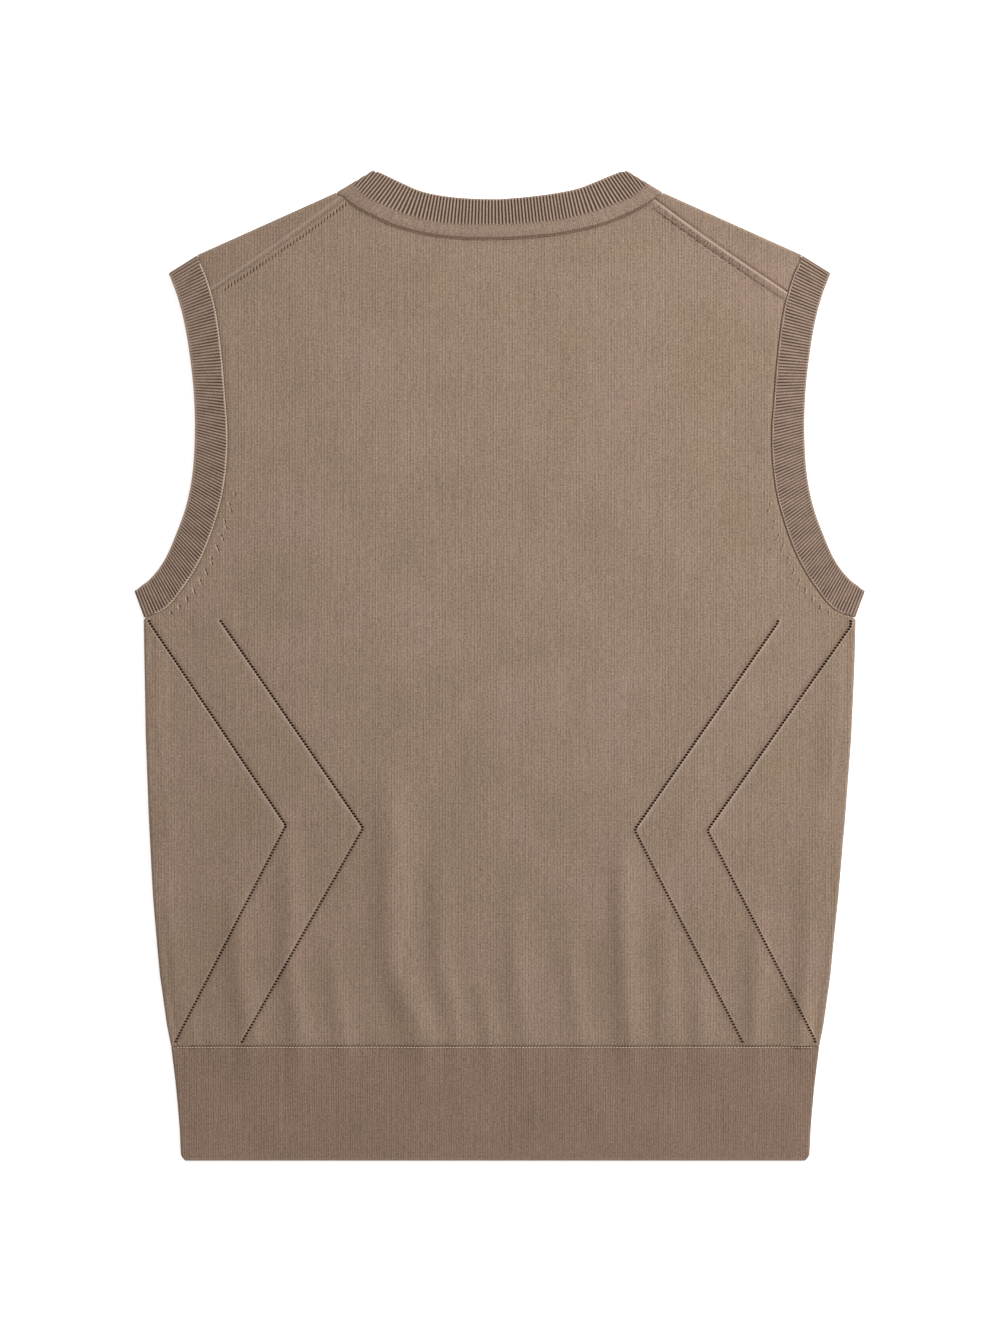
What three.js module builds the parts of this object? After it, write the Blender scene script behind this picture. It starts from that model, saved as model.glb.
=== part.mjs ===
// A knitted sweater vest laid flat on a surface with its back up.
// Millimetres. +X runs to the viewer's right, +Y up to the neck, +Z up off the surface at z = 0.
import * as THREE from "three";

// Driving sizes
const HEM_SEAM = -262.8; // height in Y where the hem band is linked on
const HEM_BOTTOM = -342.1;
const CLOTH = 1.3; // wall of the front and the back
const BAND = 1.85; // wall of the neck and arm bands over a rib
const RIB_DEPTH = 0.5;
const NECK_RIB_DEPTH = 0.6;
const HEM_WALL = 1.6;
const GAP = 0.3; // left open at each seam
const FOLD = 2.0; // outer radius of the fold at the shoulders and under the arms
const HEM_FOLD = 1.8; // outer radius of the fold at the sides of the hem
const SIDE_FOLD = 2.3; // the same at the sides of the body, where it lies softest
const REST = 2.9; // top of the back where it lies on the front
const SEAM_TOP = 3.55; // top of the back beside a band or a seam
const STRIP_TOP = 3.7; // top of the plain strip below the neck ribs
const LEAN = -3.1; // how far the lower body lies to the left of the neck
const NECK_SKEW = 1.0; // the back neck is a little higher on the right
const NECK_RIBS = 83; // across the back neck
const ARM_RIBS = 120; // down the back of each armhole
const SHOULDER_OUT = [0.535, 0.845]; // square to the shoulder fold, right side
const UNDERARM_OUT = [0.937, -0.348]; // square to the underarm fold, right side
const SEAM_RIDGE = 0.5; // the right shoulder seam rolls up by this much

// Half width of the body down its side
const SIDE = [
  { y: 51.5, half: 252.5 },
  { y: 32.4, half: 245.8 },
  { y: 7.0, half: 245.3 },
  { y: -48.2, half: 243.6 },
  { y: -103.4, half: 240.5 },
  { y: -158.6, half: 236.7 },
  { y: -213.8, half: 231.5 },
  { y: -248.3, half: 226.7 },
  { y: -262.8, half: 223.8 },
  { y: -289.7, half: 220.5 },
  { y: -317.3, half: 218.0 },
  { y: -338.5, half: 217.0 },
  { y: -342.1, half: 214.3 },
];

// Down the right armhole from the shoulder fold to the underarm fold: the band's open edge and its
// seam edge
const ARMHOLE = [
  { edgeX: 228.9, edgeY: 270.6, seamX: 209.1, seamY: 283.0 },
  { edgeX: 223.5, edgeY: 257.7, seamX: 202.4, seamY: 268.0 },
  { edgeX: 218.4, edgeY: 239.7, seamX: 196.4, seamY: 247.0 },
  { edgeX: 214.3, edgeY: 216.6, seamX: 192.4, seamY: 219.9 },
  { edgeX: 211.2, edgeY: 188.7, seamX: 189.5, seamY: 187.1 },
  { edgeX: 210.4, edgeY: 160.6, seamX: 187.7, seamY: 154.2 },
  { edgeX: 212.0, edgeY: 132.6, seamX: 190.6, seamY: 121.5 },
  { edgeX: 216.5, edgeY: 109.6, seamX: 197.6, seamY: 95.0 },
  { edgeX: 223.6, edgeY: 89.8, seamX: 206.8, seamY: 72.1 },
  { edgeX: 231.3, edgeY: 72.7, seamX: 218.3, seamY: 53.4 },
  { edgeX: 241.2, edgeY: 59.7, seamX: 230.7, seamY: 38.8 },
  { edgeX: 252.5, edgeY: 51.5, seamX: 245.6, seamY: 32.7 },
];

// Across the right half of the back neck from the shoulder fold to the middle: the open edge, the
// foot of the ribs and the seam edge
const BACK_NECK = [
  { edgeX: 86.9, edgeY: 342.1, ribX: 101.9, ribY: 332.9, seamX: 112.7, seamY: 326.4 },
  { edgeX: 77.0, edgeY: 337.8, ribX: 92.8, ribY: 323.8, seamX: 101.0, seamY: 318.0 },
  { edgeX: 66.2, edgeY: 333.0, ribX: 79.9, ribY: 318.0, seamX: 87.4, seamY: 310.7 },
  { edgeX: 53.7, edgeY: 328.0, ribX: 64.6, ribY: 312.2, seamX: 70.9, seamY: 303.9 },
  { edgeX: 36.0, edgeY: 324.5, ribX: 43.5, ribY: 306.9, seamX: 47.6, seamY: 298.3 },
  { edgeX: 18.0, edgeY: 322.6, ribX: 21.8, ribY: 304.9, seamX: 23.9, seamY: 295.5 },
  { edgeX: 0.0, edgeY: 321.7, ribX: 0.0, ribY: 304.4, seamX: 0.0, seamY: 294.8 },
];

// Down the right half of the V neck of the hidden front, from the shoulder fold to the point
const FRONT_NECK = [
  { edgeX: 86.9, edgeY: 342.1, seamX: 112.7, seamY: 326.4 },
  { edgeX: 83.5, edgeY: 315.0, seamX: 109.6, seamY: 310.4 },
  { edgeX: 76.0, edgeY: 285.0, seamX: 101.2, seamY: 276.8 },
  { edgeX: 62.0, edgeY: 250.0, seamX: 84.9, seamY: 236.8 },
  { edgeX: 31.0, edgeY: 196.0, seamX: 50.0, seamY: 176.1 },
  { edgeX: 0.0, edgeY: 142.0, seamX: 0.0, seamY: 89.0 },
];

// Soft upright folds over the hem: where the crest is just above the hem and 80 mm higher, how high
// and wide it is, and where it dies out
const FOLDS = [
  { hemX: -212.3, midX: -206.8, rise: 0.6, width: 6, top: -190 },
  { hemX: -168.8, midX: -174.4, rise: 0.9, width: 9, top: -80 },
  { hemX: -133.7, midX: -135.0, rise: 1.1, width: 10, top: -105 },
  { hemX: -110.9, midX: -117.0, rise: 0.6, width: 6, top: -205 },
  { hemX: -81.2, midX: -95.0, rise: 0.6, width: 6, top: -205 },
  { hemX: -57.8, midX: -79.8, rise: 1.3, width: 8, top: -100 },
  { hemX: -8.1, midX: -29.5, rise: 0.8, width: 9, top: -135 },
  { hemX: 17.5, midX: 5.0, rise: 0.8, width: 8, top: -150 },
  { hemX: 54.7, midX: 45.0, rise: 0.8, width: 8, top: -145 },
  { hemX: 85.8, midX: 85.0, rise: 1.1, width: 9, top: -100 },
  { hemX: 114.7, midX: 118.9, rise: 0.8, width: 8, top: -185 },
  { hemX: 143.0, midX: 138.2, rise: 0.8, width: 8, top: -135 },
  { hemX: 172.7, midX: 179.6, rise: 1.0, width: 9, top: -115 },
  { hemX: 205.8, midX: 210.0, rise: 0.7, width: 7, top: -100 },
];

// Grid counts
const SIDE_ROWS = [-250, -232, -212, -190, -165, -135, -95, -45, 0, 24]; // between hem and underarm
const FRONT_SIDE_ROWS = [-232, -190, -135, -70, 0, 24]; // the same on the plain hidden front
const ARM_ROWS = [1, 0.997, 0.991, 0.97, 0.93, 0.86, 0.76, 0.64, 0.5, 0.36, 0.22]; // up the armhole
const YOKE_ROWS = [0.1, 0.05, 0.025, 0]; // on from the shoulder seam to the shoulder fold
const BEND_STEPS = 6; // round a fold, from the upper layer to the lower
const BEND_COLUMNS = [90, 60, 35, 14]; // degrees round the side fold, from its outermost line
const SHOULDER_COLUMNS = 5;
const NECK_COLUMNS = 8;

// Small tools
const mix = (a, b, t) => a + (b - a) * t;
const clamp01 = (t) => Math.min(1, Math.max(0, t));
const smooth = (t) => clamp01(t) ** 2 * (3 - 2 * clamp01(t));
const bell = (d, width) => Math.exp(-((d / width) ** 2));
const radians = (degrees) => (degrees * Math.PI) / 180;

// A smooth curve through the rows of a table. t runs from 0 to 1, by distance between the key points,
// and all the columns share it.
function track(rows, keyX, keyY) {
  const knots = [0];
  for (let k = 1; k < rows.length; k += 1) {
    const dx = rows[k][keyX] - rows[k - 1][keyX];
    const dy = rows[k][keyY] - rows[k - 1][keyY];
    knots.push(knots[k - 1] + Math.hypot(dx, dy));
  }
  const last = rows.length - 1;
  const slope = (column, k) => {
    const a = Math.max(0, k - 1);
    const b = Math.min(last, k + 1);
    return (rows[b][column] - rows[a][column]) / (knots[b] - knots[a]);
  };
  return (t, column) => {
    const along = clamp01(t) * knots[last];
    let k = 0;
    while (k < last - 1 && knots[k + 1] < along) {
      k += 1;
    }
    const span = knots[k + 1] - knots[k];
    const s = (along - knots[k]) / span;
    return (
      (2 * s ** 3 - 3 * s ** 2 + 1) * rows[k][column] +
      (s ** 3 - 2 * s ** 2 + s) * span * slope(column, k) +
      (3 * s ** 2 - 2 * s ** 3) * rows[k + 1][column] +
      (s ** 3 - s ** 2) * span * slope(column, k + 1)
    );
  };
}

// The value of a table column at a height y, in straight steps
function atHeight(rows, column, y) {
  for (let k = 1; k < rows.length; k += 1) {
    if (y >= rows[k].y) {
      const t = clamp01((y - rows[k].y) / (rows[k - 1].y - rows[k].y));
      return mix(rows[k][column], rows[k - 1][column], t);
    }
  }
  return rows[rows.length - 1][column];
}

const armhole = track(ARMHOLE, "edgeX", "edgeY");
const backNeck = track(BACK_NECK, "edgeX", "edgeY");
const frontNeck = track(FRONT_NECK, "edgeX", "edgeY");

const lean = (y) => LEAN * smooth((30 - y) / 240);
const sideHalf = (y) => atHeight(SIDE, "half", y);
const sideRadius = (y) => {
  const up = smooth((y - HEM_SEAM) / 70);
  const down = smooth((34 - y) / 60);
  return mix(mix(HEM_FOLD, FOLD, smooth((y + 180) / 200)), SIDE_FOLD, up * down);
};

// Points of the bands. side is -1 on the left and 1 on the right. Near a fold they draw in, so that
// the rounded fold ends on the outline.
function armCurve(t, key, side) {
  const top = FOLD * (1 - smooth(t / 0.04));
  const foot = FOLD * (1 - smooth((1 - t) / 0.03));
  const x = armhole(t, `${key}X`) - top * SHOULDER_OUT[0] - foot * UNDERARM_OUT[0];
  const y = armhole(t, `${key}Y`) - top * SHOULDER_OUT[1] - foot * UNDERARM_OUT[1];
  return [side * x, y];
}

// The seam edge runs straight between the panels' rows, so that band and panel keep their gap
const ARM_KNOTS = [...ARM_ROWS, ...YOKE_ROWS];

function armPoint(t, key, side) {
  if (key === "edge") {
    return armCurve(t, key, side);
  }
  let k = 0;
  while (k < ARM_KNOTS.length - 2 && ARM_KNOTS[k + 1] > t) {
    k += 1;
  }
  const share = (ARM_KNOTS[k] - t) / (ARM_KNOTS[k] - ARM_KNOTS[k + 1]);
  const from = armCurve(ARM_KNOTS[k], key, side);
  const to = armCurve(ARM_KNOTS[k + 1], key, side);
  return [mix(from[0], to[0], share), mix(from[1], to[1], share)];
}

function neckPoint(t, key, side) {
  const draw = FOLD * (1 - smooth(t / 0.09));
  const skew = side * NECK_SKEW * Math.sin(Math.PI * clamp01(t));
  const x = backNeck(t, `${key}X`) - draw * SHOULDER_OUT[0];
  const y = backNeck(t, `${key}Y`) - draw * SHOULDER_OUT[1] + skew;
  return [side * x, y];
}

function frontPoint(t, key, side) {
  const draw = FOLD * (1 - smooth(t / 0.06));
  const x = frontNeck(t, `${key}X`) - draw * SHOULDER_OUT[0];
  const y = frontNeck(t, `${key}Y`) - draw * SHOULDER_OUT[1];
  return [side * x, y];
}

// The edge of a panel that is sewn to a band: the band's seam edge, moved on by the gap
function panelEdge(point, t, side) {
  const edge = point(t, "edge", side);
  const seam = point(t, "seam", side);
  const run = Math.hypot(seam[0] - edge[0], seam[1] - edge[1]);
  const on = GAP / run;
  return [seam[0] + (seam[0] - edge[0]) * on, seam[1] + (seam[1] - edge[1]) * on];
}

// The upright folds at a point of the back
function folds(x, y) {
  let rise = 0;
  for (const fold of FOLDS) {
    const up = (y + 250) / 78;
    const crest = mix(fold.hemX, fold.midX, up);
    const fade = smooth((fold.top - y) / 70) * (1 - 0.75 * smooth((HEM_SEAM + 14 - y) / 30));
    rise += fold.rise * fade * bell(x - crest, fold.width);
  }
  return rise * smooth((y - HEM_SEAM + 55) / 50);
}

// Walls
// A wall is made from a list of points, each with its outer and its inner place, and the faces of
// its middle. The open borders are closed from outer to inner.
function closedWall(points, quads) {
  const count = points.length;
  const positions = [];
  for (const point of points) {
    positions.push(...point.outer);
  }
  for (const point of points) {
    positions.push(...point.inner);
  }
  const faces = [];
  const borders = new Map();
  const addFace = (a, b, c) => {
    if (a === b || b === c || c === a) {
      return;
    }
    faces.push(a, b, c);
    faces.push(a + count, c + count, b + count);
    for (const [p, q] of [[a, b], [b, c], [c, a]]) {
      if (!borders.delete(`${q},${p}`)) {
        borders.set(`${p},${q}`, [p, q]);
      }
    }
  };
  for (const [a, b, c, d] of quads) {
    addFace(a, b, c);
    addFace(a, c, d);
  }
  for (const [p, q] of borders.values()) {
    faces.push(q, p, p + count);
    faces.push(q, p + count, q + count);
  }
  return solid(positions, faces);
}

// A closed ring: rows of section points, joined row to row and round each row
function closedRing(rows) {
  const across = rows[0].length;
  const positions = rows.flat(2);
  const faces = [];
  for (let i = 0; i < rows.length; i += 1) {
    for (let j = 0; j < across; j += 1) {
      const a = i * across + j;
      const b = i * across + ((j + 1) % across);
      const c = ((i + 1) % rows.length) * across + ((j + 1) % across);
      const d = ((i + 1) % rows.length) * across + j;
      faces.push(a, b, c);
      faces.push(a, c, d);
    }
  }
  return solid(positions, faces);
}

// The mesh of a closed body, its faces turned outward
function solid(positions, faces) {
  let volume = 0;
  const at = (k) => new THREE.Vector3(positions[3 * k], positions[3 * k + 1], positions[3 * k + 2]);
  for (let k = 0; k < faces.length; k += 3) {
    volume += at(faces[k]).dot(at(faces[k + 1]).cross(at(faces[k + 2])));
  }
  const indices = faces.slice();
  if (volume < 0) {
    for (let k = 0; k < indices.length; k += 3) {
      [indices[k + 1], indices[k + 2]] = [indices[k + 2], indices[k + 1]];
    }
  }
  const geometry = new THREE.BufferGeometry();
  geometry.setAttribute("position", new THREE.Float32BufferAttribute(positions, 3));
  geometry.setIndex(indices);
  geometry.computeVertexNormals();
  return geometry;
}

// Panels
// The rows of a panel's left or right edge, from the hem and up the armhole as far as armRows goes
function sideEdge(side, sideRows, armRows) {
  const rows = [HEM_SEAM + GAP / 2, ...sideRows].map((y) => [side * sideHalf(y) + lean(y), y]);
  for (const t of armRows) {
    rows.push(panelEdge(armPoint, t, side));
  }
  return rows;
}

// A point inside a panel: straight up from the bottom to the top at fraction u, moved by what the
// side edge departs from its own straight line. That pull fades out toward the middle.
function insidePoint(edge, edgeFoot, edgeTop, bottom, top, pull, v) {
  return [0, 1].map((axis) => {
    const departs = edge[axis] - mix(edgeFoot[axis], edgeTop[axis], v);
    return mix(bottom[axis], top[axis], v) + pull * departs;
  });
}

// The flat layout of a panel: rows of plan points, with the side columns set close for the fold.
// top lists the points of its upper edge and their fractions u. The sides pull on what lies further
// out than hold, a fraction of the half width.
function panelLayout(sideRows, armRows, top, hold) {
  const left = sideEdge(-1, sideRows, armRows);
  const right = sideEdge(1, sideRows, armRows);
  const last = left.length - 1;
  return left.map((leftPoint, row) => {
    const rightPoint = right[row];
    const v = (leftPoint[1] - left[0][1]) / (left[last][1] - left[0][1]);
    const radius = sideRadius(leftPoint[1]);
    const insets = BEND_COLUMNS.map((degrees) => radius * (1 - Math.sin(radians(degrees))));
    const line = insets.map((inset) => topMove(leftPoint, inset, 1, row, last, top, 0));
    for (let k = 1; k < top.length - 1; k += 1) {
      const { u, point } = top[k];
      const bottom = [mix(left[0][0], right[0][0], u), left[0][1]];
      const rows = u < 0.5 ? left : right;
      const pull = clamp01((Math.abs(2 * u - 1) - hold) / (1 - hold));
      line.push(insidePoint(rows[row], rows[0], rows[last], bottom, point, pull, v));
    }
    for (let k = insets.length - 1; k >= 0; k -= 1) {
      line.push(topMove(rightPoint, insets[k], -1, row, last, top, top.length - 1));
    }
    return line;
  });
}

// A step in from a side edge: level, but along the upper edge on the last row
function topMove(point, inset, toward, row, last, top, end) {
  if (row < last) {
    return [point[0] + toward * inset, point[1]];
  }
  const next = top[end === 0 ? 1 : end - 1].point;
  const share = inset / Math.hypot(next[0] - point[0], next[1] - point[1]);
  return [mix(point[0], next[0], share), mix(point[1], next[1], share)];
}

// How the side fold carries a point: how far round it is, and which way is out
function sideBend(point) {
  const y = point[1];
  const x = point[0] - lean(y);
  const radius = sideRadius(y);
  const inset = sideHalf(y) - Math.abs(x);
  const sine = Math.min(1, Math.max(0, (radius - inset) / radius));
  return { radius, inset, sine, cosine: Math.sqrt(1 - sine * sine), out: Math.sign(x) };
}

function quadsOf(rowCount, columnCount, start = 0) {
  const quads = [];
  for (let i = 0; i < rowCount - 1; i += 1) {
    for (let j = 0; j < columnCount - 1; j += 1) {
      const a = start + i * columnCount + j;
      quads.push([a, a + 1, a + columnCount + 1, a + columnCount]);
    }
  }
  return quads;
}

// Where the shoulder seam starts at the neckband and ends at the armband
const NECK_SEAM_T = 0.06;
const ARM_SEAM_T = YOKE_ROWS[0];

function shoulderSeam(side, share, shift) {
  const start = panelEdge(neckPoint, NECK_SEAM_T, side);
  const end = panelEdge(armPoint, ARM_SEAM_T, side);
  return [
    mix(start[0], end[0], share) + shift * side * SHOULDER_OUT[0],
    mix(start[1], end[1], share) + shift * SHOULDER_OUT[1],
  ];
}

function makeBack() {
  const shoulderCount = 12;
  const neckCount = 28;
  const outer = shoulderSeam(1, 1, -GAP / 2)[0];
  const shoulder = (side, share) => {
    const point = shoulderSeam(side, share, -GAP / 2);
    return { u: (point[0] + outer) / (2 * outer), point };
  };
  const neck = (side, share) => {
    const point = panelEdge(neckPoint, mix(NECK_SEAM_T, 1, share), side);
    return { u: (point[0] + outer) / (2 * outer), point };
  };
  const top = [];
  for (let k = 0; k < shoulderCount; k += 1) {
    top.push(shoulder(-1, 1 - k / shoulderCount));
  }
  for (let k = 0; k < neckCount / 2; k += 1) {
    top.push(neck(-1, k / (neckCount / 2)));
  }
  for (let k = neckCount / 2; k > 0; k -= 1) {
    top.push(neck(1, k / (neckCount / 2)));
  }
  for (let k = 0; k <= shoulderCount; k += 1) {
    top.push(shoulder(1, k / shoulderCount));
  }
  const layout = panelLayout(SIDE_ROWS, [...ARM_ROWS, ARM_SEAM_T], top, 0);
  // The end of the seam edge follows the shoulder seam's own gap
  const lastRow = layout[layout.length - 1];
  lastRow[0] = shoulderSeam(-1, 1, -GAP / 2);
  lastRow[lastRow.length - 1] = shoulderSeam(1, 1, -GAP / 2);
  const cornerRow = 1 + SIDE_ROWS.length;
  const points = [];
  layout.forEach((line, row) => {
    line.forEach((plan, column) => {
      const bend = sideBend(plan);
      const ends = [line[0], line[line.length - 1]];
      const toEdge = Math.min(...ends.map((end) => Math.hypot(plan[0] - end[0], plan[1] - end[1])));
      const above = lastRow[column];
      const toTop = Math.hypot(plan[0] - above[0], plan[1] - above[1]);
      const toHem = plan[1] - HEM_SEAM;
      const near = Math.max(bell(toTop, 16), bell(toHem, 12), row > cornerRow ? bell(toEdge, 16) : 0);
      const level = mix(REST, SEAM_TOP, near) + folds(plan[0], plan[1]);
      const roll = bell(Math.max(0, bend.inset - bend.radius), 13);
      const crest = mix(level, Math.max(level, 2 * bend.radius), roll);
      const onEdge = bend.inset < 0.05;
      const rim = bend.radius + GAP / 2;
      const z = bend.sine > 0 ? bend.radius + bend.radius * bend.cosine : crest;
      const outerZ = onEdge ? rim : z;
      const innerX = plan[0] - CLOTH * bend.sine * bend.out;
      const innerZ = onEdge ? rim : outerZ - CLOTH * bend.cosine;
      points.push({ outer: [plan[0], plan[1], outerZ], inner: [innerX, plan[1], innerZ] });
    });
  });
  return closedWall(points, quadsOf(layout.length, layout[0].length));
}

function makeFront() {
  const top = [];
  const axisPoint = (side, share) => {
    const start = panelEdge(neckPoint, 0, side);
    const end = panelEdge(armPoint, 0, side);
    return [mix(start[0], end[0], share), mix(start[1], end[1], share)];
  };
  const outer = axisPoint(1, 1)[0];
  for (const side of [-1, 1]) {
    const shares = [];
    for (let k = 0; k <= SHOULDER_COLUMNS + NECK_COLUMNS; k += 1) {
      const onShoulder = k <= SHOULDER_COLUMNS;
      const share = onShoulder ? 1 - k / SHOULDER_COLUMNS : (k - SHOULDER_COLUMNS) / NECK_COLUMNS;
      const point = onShoulder ? axisPoint(side, share) : panelEdge(frontPoint, share, side);
      const wide = onShoulder ? Math.abs(point[0]) : mix(axisPoint(1, 0)[0], 0, share);
      shares.push({ u: 0.5 + (side * wide) / (2 * outer), point });
    }
    if (side < 0) {
      top.push(...shares);
    } else {
      top.push(...shares.slice(0, -1).reverse());
    }
  }
  const layout = panelLayout(FRONT_SIDE_ROWS, ARM_KNOTS, top, 0.55);
  const columns = layout[0].length;
  const points = [];
  for (const line of layout) {
    for (const plan of line) {
      const bend = sideBend(plan);
      const onEdge = bend.inset < 0.05;
      const rim = bend.radius - GAP / 2;
      const z = bend.sine > 0 ? bend.radius - bend.radius * bend.cosine : 0;
      const innerX = plan[0] - CLOTH * bend.sine * bend.out;
      points.push({
        outer: [plan[0], plan[1], onEdge ? rim : z],
        inner: [innerX, plan[1], onEdge ? rim : z + CLOTH * bend.cosine],
      });
    }
  }
  const quads = quadsOf(layout.length, columns);
  // Over each shoulder fold and down the back to the shoulder seam
  const bends = BEND_COLUMNS.length;
  const base = (layout.length - 1) * columns;
  const plies = YOKE_ROWS.slice(0, -1).reverse();
  for (const side of [-1, 1]) {
    const across = SHOULDER_COLUMNS + bends;
    const first = side < 0 ? base : base + columns - across;
    let below = [];
    for (let k = 0; k < across; k += 1) {
      below.push(first + k);
    }
    const lastLine = layout[layout.length - 1].slice(first - base, first - base + across);
    const start = panelEdge(neckPoint, 0, side);
    const end = panelEdge(armPoint, 0, side);
    const span = Math.hypot(end[0] - start[0], end[1] - start[1]);
    const shares = lastLine.map((plan) => Math.hypot(plan[0] - start[0], plan[1] - start[1]) / span);
    const addLine = (makePoint) => {
      const line = shares.map((share, k) => {
        points.push(makePoint(clamp01(share), lastLine[k]));
        return points.length - 1;
      });
      for (let k = 0; k < across - 1; k += 1) {
        quads.push([below[k], below[k + 1], line[k + 1], line[k]]);
      }
      below = line;
    };
    for (let step = 1; step <= BEND_STEPS; step += 1) {
      const turn = radians(180 - (180 * step) / BEND_STEPS);
      addLine((share, plan) => {
        const place = (radius) => [
          plan[0] + side * SHOULDER_OUT[0] * radius * Math.sin(turn),
          plan[1] + SHOULDER_OUT[1] * radius * Math.sin(turn),
          FOLD + radius * Math.cos(turn),
        ];
        return { outer: place(FOLD), inner: place(FOLD - CLOTH) };
      });
    }
    for (const row of plies) {
      const share = row / ARM_SEAM_T;
      const neckEnd = panelEdge(neckPoint, NECK_SEAM_T * share, side);
      const armEnd = panelEdge(armPoint, ARM_SEAM_T * share, side);
      addLine((along) => {
        const shift = (GAP / 2) * share;
        const x = mix(neckEnd[0], armEnd[0], along) + shift * side * SHOULDER_OUT[0];
        const y = mix(neckEnd[1], armEnd[1], along) + shift * SHOULDER_OUT[1];
        const wide = Math.hypot(armEnd[0] - end[0], armEnd[1] - end[1]) * along + 5 * share;
        const ridge = side > 0 ? SEAM_RIDGE * smooth((share - 0.6) / 0.4) : 0;
        const z = mix(SEAM_TOP, 2 * FOLD, bell(wide, 7)) + ridge;
        return { outer: [x, y, z], inner: [x, y, z - CLOTH] };
      });
    }
  }
  return closedWall(points, quads);
}

// Bands
function makeArmband(side) {
  const rows = [];
  const section = (t, outerZ, innerZ) => {
    const edge = armPoint(t, "edge", side);
    const seam = armPoint(t, "seam", side);
    return [[...edge, outerZ], [...seam, outerZ], [...seam, innerZ], [...edge, innerZ]];
  };
  const round = (t, out, from) => {
    for (let step = 1; step < BEND_STEPS; step += 1) {
      const turn = radians((180 * step) / BEND_STEPS);
      const edge = armPoint(t, "edge", side);
      const seam = armPoint(t, "seam", side);
      const place = (plan, radius) => [
        plan[0] + side * out[0] * radius * Math.sin(turn),
        plan[1] + out[1] * radius * Math.sin(turn),
        FOLD + from * radius * Math.cos(turn),
      ];
      const inside = FOLD - BAND;
      rows.push([place(edge, FOLD), place(seam, FOLD), place(seam, inside), place(edge, inside)]);
    }
  };
  const steps = 2 * ARM_RIBS;
  for (let k = 0; k <= steps; k += 1) {
    const groove = k % 2 === 1 ? RIB_DEPTH : 0;
    rows.push(section(k / steps, 2 * FOLD - groove, 2 * FOLD - BAND));
  }
  round(1, UNDERARM_OUT, 1);
  for (const t of ARM_KNOTS) {
    rows.push(section(t, 0, BAND));
  }
  round(0, SHOULDER_OUT, -1);
  return closedRing(rows);
}

function makeNeckband() {
  const flatFront = NECK_COLUMNS;
  const rows = [];
  const topRow = (t, side, groove) => {
    const edge = neckPoint(t, "edge", side);
    const rib = neckPoint(t, "rib", side);
    const seam = neckPoint(t, "seam", side);
    const foot = [mix(rib[0], seam[0], 0.06), mix(rib[1], seam[1], 0.06)];
    const z = 2 * FOLD - groove;
    const under = 2 * FOLD - BAND;
    const strip = mix(2 * FOLD, STRIP_TOP, smooth(t / 0.08));
    return [
      [...edge, z],
      [...rib, z],
      [...foot, strip],
      [...seam, strip],
      [...seam, under],
      [...edge, under],
    ];
  };
  const frontRow = (t, side) => {
    const edge = frontPoint(t, "edge", side);
    const seam = frontPoint(t, "seam", side);
    const rib = [mix(edge[0], seam[0], 0.582), mix(edge[1], seam[1], 0.582)];
    const foot = [mix(edge[0], seam[0], 0.607), mix(edge[1], seam[1], 0.607)];
    return [
      [...edge, 0],
      [...rib, 0],
      [...foot, 0],
      [...seam, 0],
      [...seam, CLOTH],
      [...edge, CLOTH],
    ];
  };
  const round = (side, from) => {
    for (let step = 1; step < BEND_STEPS; step += 1) {
      const turn = radians((180 * step) / BEND_STEPS);
      const down = from > 0 ? step / BEND_STEPS : 1 - step / BEND_STEPS;
      const inside = FOLD - mix(BAND, CLOTH, down);
      const flat = topRow(0, side, 0);
      rows.push(
        flat.map((point, k) => {
          const radius = k < 4 ? FOLD : inside;
          return [
            point[0] + side * SHOULDER_OUT[0] * radius * Math.sin(turn),
            point[1] + SHOULDER_OUT[1] * radius * Math.sin(turn),
            FOLD + from * radius * Math.cos(turn),
          ];
        }),
      );
    }
  };
  const steps = 2 * NECK_RIBS;
  for (let k = 0; k <= steps; k += 1) {
    const share = (2 * k) / steps;
    const groove = k % 2 === 1 ? NECK_RIB_DEPTH : 0;
    rows.push(share <= 1 ? topRow(share, -1, groove) : topRow(2 - share, 1, groove));
  }
  round(1, 1);
  for (let k = 0; k <= 2 * flatFront; k += 1) {
    const share = k / flatFront;
    rows.push(share <= 1 ? frontRow(share, 1) : frontRow(2 - share, -1));
  }
  round(-1, -1);
  return closedRing(rows);
}

function makeHem() {
  const heights = [HEM_SEAM - GAP / 2, -276, -300, -322, -338.5, HEM_BOTTOM];
  const upper = 44;
  const lower = 14;
  const columns = [];
  const flat = (share, isUpper) => {
    const place = (y, isInner) => {
      const half = sideHalf(y) - HEM_FOLD;
      const x = share * half + lean(y);
      const top = 2 * HEM_FOLD + folds(x, y) * (1 - share ** 8);
      const z = isUpper ? top - (isInner ? HEM_WALL : 0) : isInner ? HEM_WALL : 0;
      return [x, y, z];
    };
    const outside = heights.map((y) => place(y, false));
    const inside = heights.map((y) => place(y, true)).reverse();
    return [...outside, ...inside];
  };
  const round = (side) => {
    for (let step = 1; step < BEND_STEPS; step += 1) {
      const turn = radians((180 * step) / BEND_STEPS);
      const place = (y, radius) => [
        side * (sideHalf(y) - HEM_FOLD + radius * Math.sin(turn)) + lean(y),
        y,
        HEM_FOLD + side * radius * Math.cos(turn),
      ];
      const outside = heights.map((y) => place(y, HEM_FOLD));
      const inside = heights.map((y) => place(y, HEM_FOLD - HEM_WALL)).reverse();
      columns.push([...outside, ...inside]);
    }
  };
  for (let k = 0; k <= upper; k += 1) {
    columns.push(flat(-1 + (2 * k) / upper, true));
  }
  round(1);
  for (let k = 0; k <= lower; k += 1) {
    columns.push(flat(1 - (2 * k) / lower, false));
  }
  round(-1);
  return closedRing(columns);
}

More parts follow.
